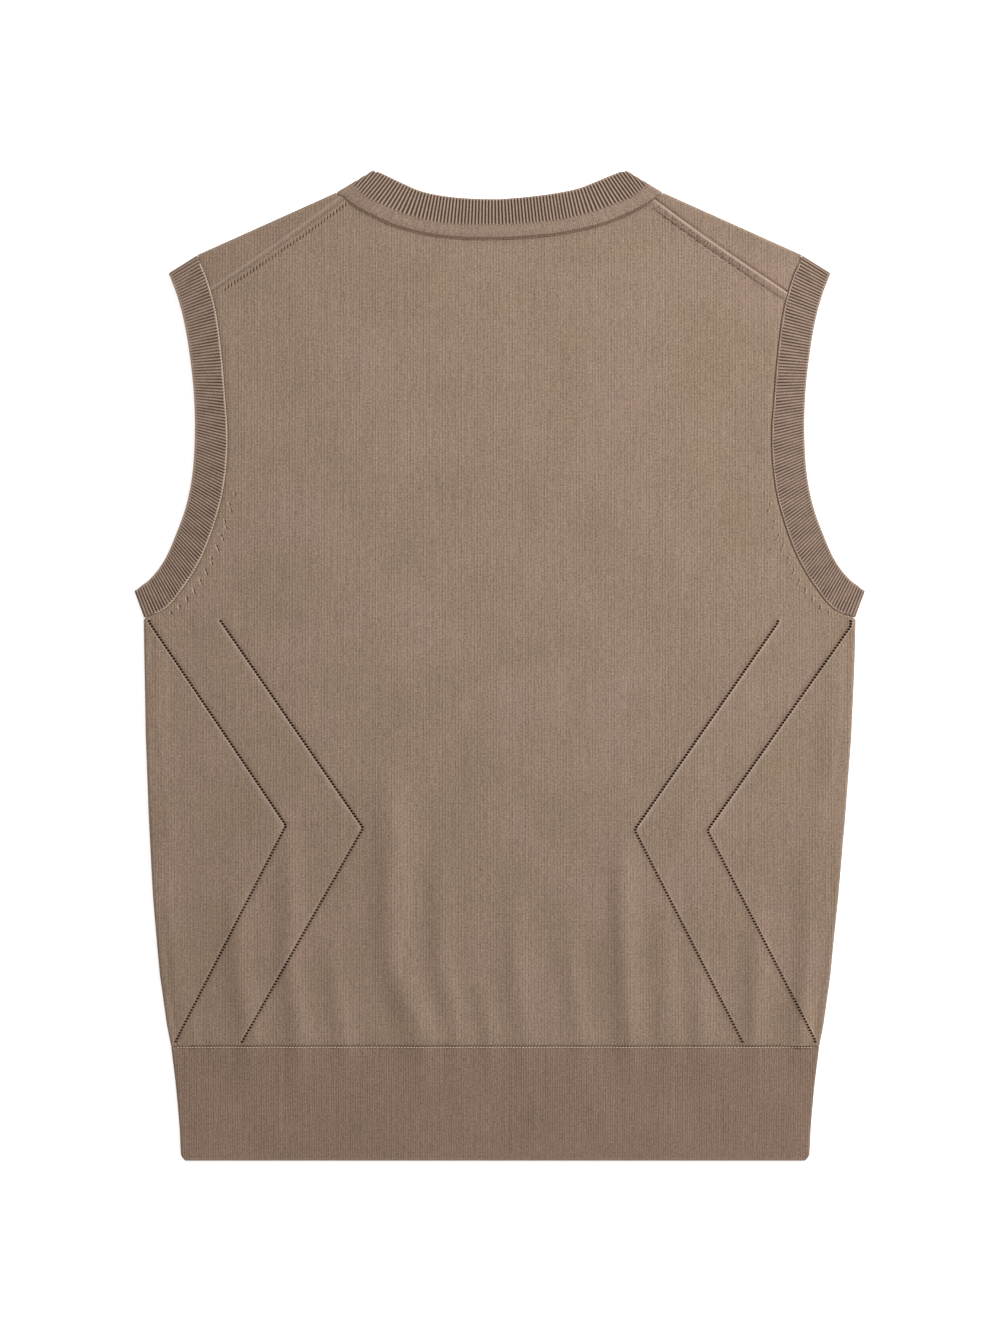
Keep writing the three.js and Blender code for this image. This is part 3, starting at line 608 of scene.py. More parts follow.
def seam_ridge(plan):
    """The right shoulder seam's rolled allowance under the back's upper edge: how far each point is
    below the seam, whether it is beside it, and the ridge's rise, steep at the seam and soft below."""
    start, end = shoulder_seam(1, 0.0, -GAP / 2), shoulder_seam(1, 1.0, -GAP / 2)
    run = end - start
    length = np.linalg.norm(run)
    along = ((plan - start) @ run) / length**2
    sag = seam_sag(1, np.clip(along, 0, 1))[..., None]
    square = np.array([-run[1], run[0]]) / length
    below = (mix(start, end, along[..., None]) - sag * SHOULDER_OUT - plan) @ square
    beside = smooth((along + 0.01) / 0.04)
    size = RIDGE + 0.5 * np.sin(8 * along + 1)
    return below, beside, beside * smooth(below / 0.8) * (1 - smooth((below - size + 0.6) / 2.2))


def side_bend(plan):
    """How a panel rounds over its side folds: the fold's radius, the distance off the middle line and
    in from the outermost line, and the sine and cosine of the turn."""
    x, y = plan[..., 0], plan[..., 1]
    radius = side_radius(y)
    off = x - lean(y)
    inset = side_half(y) - np.abs(off)
    sine = np.clip((radius - inset) / radius, 0, 1)
    return radius, off, inset, sine, np.sqrt(1 - sine**2)


def back_height(plan, corner_row):
    """Height of the back's upper face: it rests low, rises beside bands and seams, rounds up to its
    side folds and carries the folds, creases and ripples."""
    x, y = plan[..., 0], plan[..., 1]
    radius, off, inset, sine, cosine = side_bend(plan)
    ends = [np.linalg.norm(plan - plan[:, [k]], axis=2) for k in (0, -1)]
    to_edge = np.minimum(*ends)
    to_top = np.linalg.norm(plan - plan[-1:], axis=2)
    above = smooth((plan[:, :1, 1] - plan[corner_row, 0, 1]) / 8)
    near = np.maximum(np.maximum(bell(to_top, 16), bell(y - HEM_SEAM, 12)), bell(to_edge, 16) * above)
    inward = np.minimum(inset - radius, to_edge)
    loose = smooth(to_top / 18) * smooth((y - HEM_SEAM) / 18) * smooth(inward / 14)
    level = mix(REST, SEAM_TOP, near) + folds(x, y) + (creases(x, y) + ripple(x, y)) * loose
    level = level - 0.25 * bell(to_top, 1.8) - 0.3 * bell(to_edge, 2.0) * above
    level = level - 0.2 * bell(y - HEM_SEAM, 1.8)
    below, _, ridge = seam_ridge(plan)
    level = level + ridge * (0.8 + 0.5 * bell(below - 1.5, 1.5))
    roll = bell(np.maximum(0, inset - radius), 13)
    crest = mix(level, np.maximum(level, 2 * radius), roll)
    waver = 1.2 * np.sin(y / 19) + 0.8 * np.sin(y / 7.3 + off / 100)
    body = smooth((28 - y) / 20)
    crest = crest + body * (0.3 * bell(inset - 11 - waver, 4) - 0.4 * bell(inset - 5.5 - 0.4 * waver, 1.8))
    crest = crest + body * (off > 0) * 0.9 * bell(inset - 17 - waver, 6)
    z = np.where(sine > 0, radius + radius * cosine, crest)
    rim = radius + GAP / 2
    on_edge = inset < 0.05
    z = np.where(on_edge, rim, z)
    inner_x = x - CLOTH * sine * np.sign(off)
    inner_z = np.where(on_edge, rim, z - CLOTH * cosine)
    return z, inner_x, inner_z


def make_back():
    """The back as one closed wall with its eyelets open right through. Each eyelet is a ring of
    eight points in its own cell: four quads and four triangles round it."""
    plan, first, corner_row = back_plan()
    rows, columns = plan.shape[:2]
    z, inner_x, inner_z = back_height(plan, corner_row)
    surface = np.concatenate([plan, z[..., None]], 2)
    inner = np.stack([inner_x, plan[..., 1], inner_z], 2)
    shade = np.zeros((rows, columns))
    pale = np.zeros((rows, columns))
    cells, rims = [], []
    below, beside, _ = seam_ridge(plan)
    # Painted highlight on the right ridge's upper edge; painted shade in the seam's gap and below the ridge
    pale += (0.42 * bell(below - 1.0, 0.8) + 0.12 * bell(below - 2.0, 1.5)) * beside
    shade += (0.5 * bell(below, 0.4) + 0.14 * bell(below - RIDGE + 0.3, 1.1)) * beside
    # Painted shade, growing toward the hem and the left side, where less of the lamp's light falls
    shade += 0.05 * smooth((60 - plan[..., 1]) / 260) + 0.03 * smooth((-60 - plan[..., 0]) / 120)
    to_top = np.linalg.norm(plan - plan[-1:], axis=2)
    neck_reach = neck_point(NECK_SEAM_T, 2, 1)[0]
    by_neck = (np.abs(plan[-1:, :, 0]) < neck_reach) & (np.arange(rows)[:, None] > corner_row)
    # Painted shadow along the back's upper edge, under the neckband's seam
    shade += (0.22 * bell(to_top - 0.2, 0.8) + 0.12 * bell(to_top - 1.5, 2.5)) * by_neck
    # Beside each line of eyelets: painted highlight on its outer column and painted shade on its inner one
    for side, column in zip(EYELET_SIDES, first):
        far = column if side < 0 else column + 1
        pale[LOWER_EYELETS:corner_row, far] = 0.3
        pale[1:LOWER_EYELETS, far] = 0.1
        shade[1:corner_row, column + (1 if side < 0 else 0)] = 0.2
        for row in range(1, corner_row - 1):
            cells.append((row, column))
            upper = row >= LOWER_EYELETS
            rims.append((row, far, side, 1.0 if upper else 0.0))
    cells = np.array(cells)
    a = cells[:, 0] * columns + cells[:, 1]
    corners = np.stack([a, a + 1, a + columns + 1, a + columns], 1)
    quads = grid_quads(rows, columns)
    quads = quads[~np.isin(quads[:, 0], a)]
    outer, inner = surface.reshape(-1, 3), inner.reshape(-1, 3)

    box = outer[corners][:, :, :2]
    centre = box.mean(1)
    across = (box[:, 1] - box[:, 0] + box[:, 2] - box[:, 3]) / 2
    upward = (box[:, 3] - box[:, 0] + box[:, 2] - box[:, 1]) / 2
    turn = np.radians(-90 + 45 * np.arange(8) - 22.5)
    ring = across[:, None] * np.cos(turn)[None, :, None] + upward[:, None] * np.sin(turn)[None, :, None]
    ring = unit(ring) * [EYELET_ACROSS, EYELET_ALONG]
    ring = ring * np.where(cells[:, 0] < LOWER_EYELETS, 0.86, 1.0)[:, None, None]
    ring = (centre[:, None] + ring).reshape(-1, 2)
    top = np.repeat(outer[corners][:, :, 2].mean(1) - 0.05, 8)
    low = np.repeat(inner[corners][:, :, 2].mean(1), 8)
    base = len(outer) + 8 * np.arange(len(cells))
    around, fans = [], []
    for k in range(4):
        then = corners[:, (k + 1) % 4]
        around.append(np.stack([corners[:, k], then, base + 2 * k + 1, base + 2 * k], 1))
        fans.append(np.stack([then, base + (2 * k + 2) % 8, base + 2 * k + 1], 1))
    faces = [np.concatenate([quads, *around]), np.concatenate(fans)]
    outer = np.concatenate([outer, np.column_stack([ring, top])])
    inner = np.concatenate([inner, np.column_stack([ring, low])])
    points, faces = wall(outer, inner, faces)
    # Painted shade in the eyelets: their rims darkened, most at the sides, and their walls dark right down
    ring_shade = np.tile([0.4, 0.4, 0.85, 0.85], 2 * len(cells))
    plain, clear = np.zeros(rows * columns), np.zeros(len(ring_shade))
    shade = np.concatenate([shade.ravel(), ring_shade, plain, clear + 1.0])
    pale = np.concatenate([pale.ravel(), clear, plain, clear])
    piece = make_piece(
        "back_knit", points, faces, jersey,
        {"shade": shade, "pale": pale, **stitch_counts(points, WALE, COURSE)},
    )
    return piece, surface, rims


def eyelet_rims(surface, rims):
    """The strand beside each eyelet, on the side away from the middle of the back, drawn pale as a
    painted highlight.
    """
    ends = np.array([(surface[row, far], surface[row + 1, far]) for row, far, _, _ in rims])
    sides = np.array([side for _, _, side, _ in rims])
    strength = np.array([size for _, _, _, size in rims])
    flat = unit(ends[:, 1, :2] - ends[:, 0, :2])
    places = ends.mean(1)
    places[:, 0] += sides * 0.25
    places[:, 2] += 0.1 * strength - 0.12
    return yarn_bits(places, flat, 2.0, 0.3)


# Front panel
def front_plan(side_rows, arm_rows, shoulder, neck):
    """Plan of the front, and the upper edge's columns for each shoulder fold. Inside points go
    straight up from the hem to the upper edge, pulled by what the side departs from its own line."""
    inner, outer = [end[0] for end in shoulder_axis(1)]
    degrees = np.radians([90, 75, 60, 45, 30, 15, 0])
    top = []
    for side in (-1, 1):
        half = []
        for k in range(shoulder):
            point = mix(*shoulder_axis(side), 1 - k / shoulder)
            half.append((0.5 + point[0] / (2 * outer), point))
        for k in range(neck + 1):
            point = panel_edge(front_point, k / neck, 1, side)
            half.append((0.5 + side * inner * (1 - k / neck) / (2 * outer), point))
        top += half if side < 0 else half[:-1][::-1]
    share = np.array([u for u, _ in top])
    upper = np.array([point for _, point in top])
    edges = []
    for side in (-1, 1):
        y = np.array([HEM_SEAM + GAP / 2, *side_rows])
        body = np.stack([side * side_half(y) + lean(y), y], 1)
        edges.append(np.concatenate([body, panel_edge(arm_point, np.array(arm_rows), 1, side)]))
    left, right = edges
    v = ((left[:, 1] - left[0, 1]) / (left[-1, 1] - left[0, 1]))[:, None]
    radius = side_radius(left[:, 1])
    inset = radius[:, None] * (1 - np.sin(degrees))
    blocks = []
    for edge, toward in ((left, 1), (right, -1)):
        bend = np.stack([edge[:, :1] + toward * inset, np.repeat(edge[:, 1:], len(degrees), 1)], 2)
        last = (upper[1] - upper[0]) if toward > 0 else (upper[-2] - upper[-1])
        bend[-1] = edge[-1] + inset[-1][:, None] * last / np.linalg.norm(last)
        blocks.append(bend if toward > 0 else bend[:, ::-1])
    middle = []
    for k in range(1, len(share) - 1):
        u = share[k]
        bottom = np.array([mix(left[0, 0], right[0, 0], u), left[0, 1]])
        edge = left if u < 0.5 else right
        pull = float(np.clip((abs(2 * u - 1) - 0.55) / 0.45, 0, 1))
        departs = edge - mix(edge[0], edge[-1], v)
        middle.append(mix(bottom, upper[k], v) + pull * departs)
    return np.concatenate([blocks[0], np.stack(middle, 1), blocks[1]], axis=1), len(degrees)


def make_front():
    """The front as one closed wall: flat on the floor, over both shoulder folds and down to the
    shoulder seams."""
    shoulder, neck = 24, 26  # columns of mesh to each shoulder fold and to each half of the neck
    side_rows = np.linspace(-256, SIDE_TOP, 35)
    arm_rows = [1, 0.997, 0.991, 0.98, *np.linspace(0.97, 0.1, 34), 0.075, 0.05, 0.025, 0]
    plan, bends = front_plan(side_rows, arm_rows, shoulder, neck)
    x, y = plan[..., 0], plan[..., 1]
    radius, off, inset, sine, cosine = side_bend(plan)
    z = np.where(sine > 0, radius - radius * cosine, 0)
    on_edge = inset < 0.05
    rim = radius - GAP / 2
    outer = np.stack([x, y, np.where(on_edge, rim, z)], 2)
    inner = np.stack([x - CLOTH * sine * np.sign(off), y, np.where(on_edge, rim, z + CLOTH * cosine)], 2)
    rows, columns = x.shape
    count = rows * columns
    plain = np.zeros(count)
    # Each line of points: outer and inner places, painted shade and highlight, and how dark it is inside
    # Painted shade: the main sheet's inner face is dark all over, so the eyelets above it show dark
    lines = [(outer.reshape(-1, 3), inner.reshape(-1, 3), plain, plain, plain + 1.0)]
    faces = [grid_quads(rows, columns)]
    across = shoulder + bends
    for side in (-1, 1):
        first = 0 if side < 0 else columns - across
        below = (rows - 1) * columns + first + np.arange(across)
        last_line = plan[-1, first : first + across]
        start, end = shoulder_axis(side)
        along = np.clip(np.linalg.norm(last_line - start, axis=1) / np.linalg.norm(end - start), 0, 1)
        sheets = []
        clear = np.zeros(across)
        out = SHOULDER_OUT * [side, 1]
        for step in range(1, 11):
            turn = math.pi * (1 - step / 10)
            place = [
                raised(last_line + out * r * math.sin(turn), FOLD + r * math.cos(turn))
                for r in (FOLD, FOLD - CLOTH)
            ]
            sheets.append((*place, clear, clear, clear))
        for share in np.linspace(0, 1, 51)[1:]:
            neck_end = panel_edge(neck_point, NECK_SEAM_T * share, 2, side)
            arm_end = panel_edge(arm_point, ARM_SEAM_T * share, 1, side)
            sag = (share**2 * seam_sag(side, along))[:, None]
            flat = mix(neck_end, arm_end, along[:, None]) + out * (share * GAP / 2 - sag)
            wide = np.linalg.norm(arm_end - end) * along + 5 * share
            left = (1 - share) * (5 + 20 * along)
            level = mix(SEAM_TOP, 2 * FOLD, bell(wide, 7))
            dark, light = clear, clear
            # Painted shade by the right seam and on the dim left yoke; painted highlight on the left seam
            if side > 0:
                level = level - 0.25 * bell(left, 0.9)
                dark = 0.5 * bell(left, 0.45) + 0.1 * bell(left, 2.2)
            else:
                level = level + 0.35 * bell(left - 1.9, 1.1) - 0.2 * bell(left, 0.8)
                light = 0.35 * bell(left - 1.9, 0.7)
                dark = dark + 0.1
            level = level - 0.3 * bell(along * 113, 1.8) - 0.3 * bell((1 - along) * 113, 1.8)
            faces_of_cloth = [np.column_stack([flat, level - down]) for down in (0, CLOTH)]
            sheets.append((*faces_of_cloth, dark, light, clear))
        for _ in sheets:
            line = count + np.arange(across)
            faces.append(np.stack([below[:-1], below[1:], line[1:], line[:-1]], 1))
            below, count = line, count + across
        lines += sheets
    outer, inner, dark, light, inside = [np.concatenate(part) for part in zip(*lines)]
    points, faces = wall(outer, inner, [np.concatenate(faces)])
    shade = np.concatenate([dark, inside])
    pale = np.concatenate([light, np.zeros(count)])
    return make_piece(
        "front_knit", points, faces, jersey,
        {"shade": shade, "pale": pale, **stitch_counts(points, WALE, COURSE)},
    )


# Bands
# Section of a band, round from its open edge: share of the way to the seam edge, and share of the
# way down from the upper face to the lower one
BAND_ACROSS = np.array([
    0, 0.012, 0.03, 0.09, 0.2, 0.34, 0.48, 0.62, 0.76, 0.88, 0.95, 0.985, 1, 1, 0.97, 0.5, 0.03, 0.012,
])
BAND_DOWN = np.array([0.5, 0.12, 0, 0, 0, 0, 0, 0, 0, 0, 0, 0, 0.25, 0.85, 1, 1, 1, 0.88])


def ring_piece(name, sections, material, attributes):
    """A closed ring of sections: rows of points joined row to row and round each row."""
    rows, columns = sections.shape[:2]
    flat = {key: np.broadcast_to(v, (rows, columns)).ravel() for key, v in attributes.items()}
    faces = [grid_quads(rows, columns, True)]
    return make_piece(name, sections.reshape(-1, 3), faces, material, flat, sharp=80)


def make_armband(side, name):
    """A ribbed band folded flat at the shoulder and under the arm. Ribs cross it from the open edge
    to the seam, evenly spaced along its middle, on both faces and over both folds."""
    across, down = BAND_ACROSS, BAND_DOWN
    on_face = (down < 0.1) & (across > 0.02)
    window = np.where(on_face, smooth(across / 0.08) * smooth((1 - across) / 0.04), 0)
    stops = [(t, 0.0, None) for t in np.linspace(0, 1, ARM_RIBS * RIB_ROWS + 1)]
    stops += [(1.0, math.pi * k / BEND_STEPS, UNDERARM_OUT) for k in range(1, BEND_STEPS)]
    stops += [(t, math.pi, None) for t in np.linspace(1, 0, ARM_RIBS * UNDER_ROWS + 1)]
    stops += [(0.0, math.pi * (1 - k / BEND_STEPS), SHOULDER_OUT) for k in range(1, BEND_STEPS)]
    places = np.array([(arm_point(t, 0, side), arm_point(t, 1, side)) for t, _, _ in stops])
    middle = places.mean(1)
    course = []
    for point, (_, turn, out) in zip(middle, stops):
        if out is not None:
            point = point + out * [side, 1] * FOLD * math.sin(turn)
        course.append([*point, FOLD * math.cos(turn)])
    steps = np.linalg.norm(course - np.roll(course, -1, 0), axis=1)
    along = np.concatenate([[0], np.cumsum(steps)[:-1]])
    phase = along * round(steps.sum() / ARM_PITCH) / steps.sum()
    sections = []
    for (edge, seam), (_, turn, out), count in zip(places, stops, phase):
        plan = mix(edge, seam, across[:, None])
        uneven = 0.85 + 0.15 * math.sin(1.7 * count) * math.sin(0.31 * count)
        depth = BAND * down + ARM_GROOVE * uneven * rib(count) * window
        if out is None and turn == 0:
            level = 2 * FOLD - depth - 0.3 * smooth((across - 0.95) / 0.05) * (1 - down)
        elif out is None:
            level = depth
        else:
            radius = FOLD - np.minimum(depth, FOLD - 0.12)
            plan = plan + out * [side, 1] * (radius * math.sin(turn))[:, None]
            level = FOLD + radius * math.cos(turn)
        sections.append(np.column_stack([plan, level]))
    phase = phase[:, None]
    # Painted shade in the rib grooves, deeper toward the seam, and on the band's sides and underside
    groove_and_shade = 0.9 * rib(phase) ** 0.85 * window * (0.85 + 0.15 * smooth((across - 0.4) / 0.45))
    shade = groove_and_shade * (0.88 + 0.12 * np.sin(0.9 * phase + 5 * across)) + 0.1 * (down > 0.1)
    # A pale line along the open edge, and painted highlight on the rib crests
    pale = 0.3 * bell(across - 0.02, 0.015) * (down < 0.2) + 0.16 * (1 - rib(phase)) ** 3 * window
    return ring_piece(
        name, np.array(sections), ribbing,
        {"shade": np.clip(shade, 0, 1), "pale": pale, "wale": phase + 0.5, "course": across * 22.0},
    )


def neck_course():
    """The open edge of the back neck from left to right, run on straight past both folds and
    softened over 14 mm, with the distance along it from the middle."""
    t = np.linspace(0, 1, 1200)
    half = track(BACK_NECK, t, 0)
    skew = NECK_SKEW * np.sin(np.pi * t)
    left = np.column_stack([-half[:, 0], half[:, 1] - skew])
    right = np.column_stack([half[:, 0], half[:, 1] + skew])[::-1]
    on = np.arange(0.1, 50, 0.1)[:, None]
    before, after = unit(left[0] - left[150]), unit(right[-1] - right[-151])
    line = np.concatenate([(left[0] + before * on)[::-1], left, right[1:], right[-1] + after * on])
    reach = 160
    weights = np.hanning(2 * reach + 1)
    line = np.stack([np.convolve(line[:, k], weights / weights.sum(), "valid") for k in (0, 1)], 1)
    along = distance_along(line)
    return line, along - along[len(on) + len(left) - 1 - reach]


def rib_phase(plan, line, along):
    """Rib number at points of the neckband: the distance along the edge to the foot of the square
    from each point, in ribs. Toward the shoulder folds the ribs lean outward, so the distance is
    moved by a share of how far the point is from the edge."""
    tangent = unit(np.gradient(line, axis=0))
    phase = np.empty(plan.shape[:-1])
    for k, row in enumerate(plan):
        gaps = np.linalg.norm(row[:, None] - line[None], axis=2)
        near = gaps.argmin(1)
        at = along[near] + ((row - line[near]) * tangent[near]).sum(1)
        deep = gaps.min(1)
        phase[k] = at - np.sign(at) * deep * NECK_TILT * smooth((np.abs(at) - 52) / 40)
    return phase / NECK_PITCH


def make_neckband():
    """The neckband: ribs square to the open edge, their foot, and the plain strip that is linked to
    the back. It goes over both shoulder folds and down the V of the front."""
    foot = 0.66
    across = np.concatenate([BAND_ACROSS[:3], np.linspace(0.06, 0.7, 23), [0.82, 0.96], BAND_ACROSS[12:]])
    down = np.concatenate([BAND_DOWN[:3], np.zeros(25), BAND_DOWN[12:]])
    split = np.clip(across / foot, 0, 1)[:, None], np.clip((across - foot) / (1 - foot), 0, 1)[:, None]
    on_face = (down < 0.1) & (across > 0.02)
    window = np.where(on_face, smooth(across / 0.06) * (1 - smooth((across - foot + 0.03) / 0.06)), 0)
    straight = (0.0, 0.0)

    # Each section: its points, its plan laid out flat, how ribbed it is, its turn and its fold's way
    def plan_at(t, side):
        edge, ribs, seam = [neck_point(t, pair, side) for pair in (0, 1, 2)]
        return mix(mix(edge, ribs, split[0]), seam, split[1])

    def top(t, side):
        plan = plan_at(t, side)
        strip = mix(2 * FOLD, STRIP_TOP, smooth(t / 0.08))
        level = mix(2 * FOLD, strip, smooth((across - foot) / 0.06))
        level = level - (level - (2 * FOLD - BAND)) * down
        level = level - 0.25 * smooth((across - 0.94) / 0.06) * (1 - down)
        return np.column_stack([plan, level]), plan, 1.0, 0.0, straight

    def bend(share, side):
        turn = math.pi * share
        plan = plan_at(0.0, side)
        radius = mix(FOLD, FOLD - mix(BAND, CLOTH, share), down)
        out = SHOULDER_OUT * [side, 1]
        flat = plan + out * (radius * math.sin(turn))[:, None]
        ribbed = float(1 - smooth((share - 0.6) / 0.3))
        points = np.column_stack([flat, FOLD + radius * math.cos(turn)])
        return points, plan + out * FOLD * turn, ribbed, turn, out

    def front(t, side):
        plan = mix(front_point(t, 0, side), front_point(t, 1, side), across[:, None])
        return np.column_stack([plan, CLOTH * down]), plan, 0.0, math.pi, straight

    steps, front_steps = BACK_NECK_RIBS * RIB_ROWS, FRONT_NECK_RIBS * UNDER_ROWS
    bends = np.arange(1, BEND_STEPS) / BEND_STEPS
    sections = [top(min(s, 2 - s), -1 if s <= 1 else 1) for s in 2 * np.arange(steps + 1) / steps]
    sections += [bend(share, 1) for share in bends]
    down_and_up = np.arange(2 * front_steps + 1) / front_steps
    sections += [front(min(s, 2 - s), 1 if s <= 1 else -1) for s in down_and_up]
    sections += [bend(1 - share, -1) for share in bends]
    rows, flats, kinds, turns, outs = [np.array(part) for part in zip(*sections)]
    kinds = kinds[:, None]
    line, along = neck_course()
    phase = np.zeros(rows.shape[:2])
    back = kinds[:, 0] > 0
    phase[back] = rib_phase(flats[back], line, along)
    is_front = kinds[:, 0] == 0
    phase[is_front] = np.arange(is_front.sum())[:, None] / UNDER_ROWS
    place = np.arange(len(rows)) - (steps + BEND_STEPS)
    fade = smooth(np.minimum(place, 2 * front_steps - place) / 12)
    strength = np.where(is_front, 0.6 * fade, kinds[:, 0])[:, None] * window
    groove_and_shade = rib(phase) * strength
    depth = NECK_GROOVE * groove_and_shade * (down < 0.1)
    rows[..., :2] -= (outs * np.sin(turns)[:, None])[:, None] * depth[..., None]
    rows[..., 2] -= depth * np.cos(turns)[:, None]
    # Painted shade in the rib grooves, a dark line at the foot of the ribs, and the strip's own darker tone
    strip = smooth((across - foot + 0.01) / 0.05) * (down < 0.1) * (kinds > 0)
    under_ribs = bell(across - foot - 0.01, 0.02) * (down < 0.1) * (1 - strength)
    shade = 0.9 * groove_and_shade**0.9 + 0.16 * strip + 0.2 * under_ribs
    # A pale line along the open edge, and painted highlight on the rib crests
    pale = 0.2 * bell(across - 0.02, 0.015) * (down < 0.2) + 0.35 * (1 - rib(phase)) ** 3 * strength
    return ring_piece(
        "neck_rib", rows, ribbing,
        {"shade": np.clip(shade, 0, 1), "pale": pale, "wale": phase + 0.5, "course": across * 24.0},
    )


def make_hem():
    """The hem welt: a flattened tube band with the folds of the back running out over it, rounded
    at its lower edge, which is finely toothed."""
    top = HEM_SEAM - GAP / 2
    heights = np.array([
        HEM_BOTTOM, -341.8, -341.1, -339.8, -338, -334, -328, -320, -311, -302, -293, -284, -276, -270, -266,
        -264.2, top - 0.2, top, top, -276, -300, -322, -338.5, -341.6,
    ])
    down = np.array([0.5, 0.15, 0.02, *[0] * 13, 0.06, 0.3, 0.9, 1, 1, 1, 1, 0.85])
    columns, wales = [], []
    half = side_half(heights) - HEM_FOLD

    def finish(x, level, wale):
        teeth = 0.35 * (0.5 - 0.5 * math.cos(2 * math.pi * wale)) * bell(heights - HEM_BOTTOM, 1.2)
        columns.append(np.column_stack([x, heights + teeth, level]))
        wales.append(wale)

    upper, lower, bend_steps = 520, 260, 20
    for k in range(upper + 1):
        share = -1 + 2 * k / upper
        x = share * half + lean(heights)
        rise = folds(x, heights) * (1 - share**8)
        small = (hem_lines(x, heights) + 0.5 * ripple(x, heights)) * smooth((1 - abs(share)) / 0.03)
        small = small * smooth((heights - HEM_BOTTOM) / 6)
        level = 2 * HEM_FOLD + rise + small
        level = level - 0.3 * bell(heights - HEM_SEAM, 1.6)
        finish(x, level - HEM_WALL * down, k / 2)
    for side in (1, -1):
        for k in range(1, bend_steps):
            turn = math.pi * k / bend_steps
            radius = HEM_FOLD - HEM_WALL * down
            x = side * (half + radius * math.sin(turn)) + lean(heights)
            finish(x, HEM_FOLD + side * radius * math.cos(turn), upper / 2 + k * 0.15)
        if side > 0:
            for k in range(lower + 1):
                share = 1 - 2 * k / lower
                finish(share * half + lean(heights), HEM_WALL * down, k)
    sections = np.array(columns)
    wale = np.array(wales)[:, None]
    # A pale line along the lower edge, fine dark upright lines, and painted shade along the seam
    pale = 0.3 * bell(heights - HEM_BOTTOM - 0.8, 0.8) * (down < 0.6)
    shade = 0.16 * (0.5 - 0.5 * np.cos(2 * np.pi * wale)) * (down < 0.1)
    shade = shade + 0.1 * bell(heights - HEM_SEAM, 0.8) * (down < 0.5)
    return ring_piece(
        "hem_welt", sections, welt,
        {"shade": shade, "pale": pale, "wale": sections[..., 0] / HEM_WALE, "course": heights / HEM_COURSE},
    )


# Stitches on the seams
def lay_on(surface, flat, lift):
    """Plan points set on the back's upper face: the height of the nearest point of its mesh."""
    cloud = surface.reshape(-1, 3)
    level = np.empty(len(flat))
    for k, point in enumerate(flat):
        level[k] = cloud[((cloud[:, :2] - point) ** 2).sum(1).argmin(), 2]
    return np.column_stack([flat, level + lift])


def across_hem(start, end, y, level):
    """A path across the back at height y, at a level that the folds add to."""
    x = np.linspace(start, end, 400)
    return np.column_stack([x, np.full(400, y), level + folds(x, y)])


def sew(group, path, spacing, slant, length, radius, surface=None, lift=0.0):
    """Adds a row of stitches along a path to a group, each turned by slant from the path's own way.
    A flat path is laid on a surface first."""
    places, way = spaced(path, spacing)
    if surface is not None:
        places = lay_on(surface, places, lift)
    group.append(yarn_bits(places, turned(way, slant), length, radius))


def stitch_piece(name, parts, material):
    """Small stitches joined as one piece on the body."""
    counts = np.cumsum([0] + [len(points) for points, _ in parts])
    faces = [np.concatenate([part[1][k] + n for part, n in zip(parts, counts)]) for k in (0, 1)]
    points = np.concatenate([part[0] for part in parts])
    columns = stitch_counts(points, YARN_PITCH, YARN_PITCH)
    piece = make_piece(name, points, faces, material, {"shade": 0.0, "pale": 0.0, **columns})
    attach(piece, "root")
    return piece


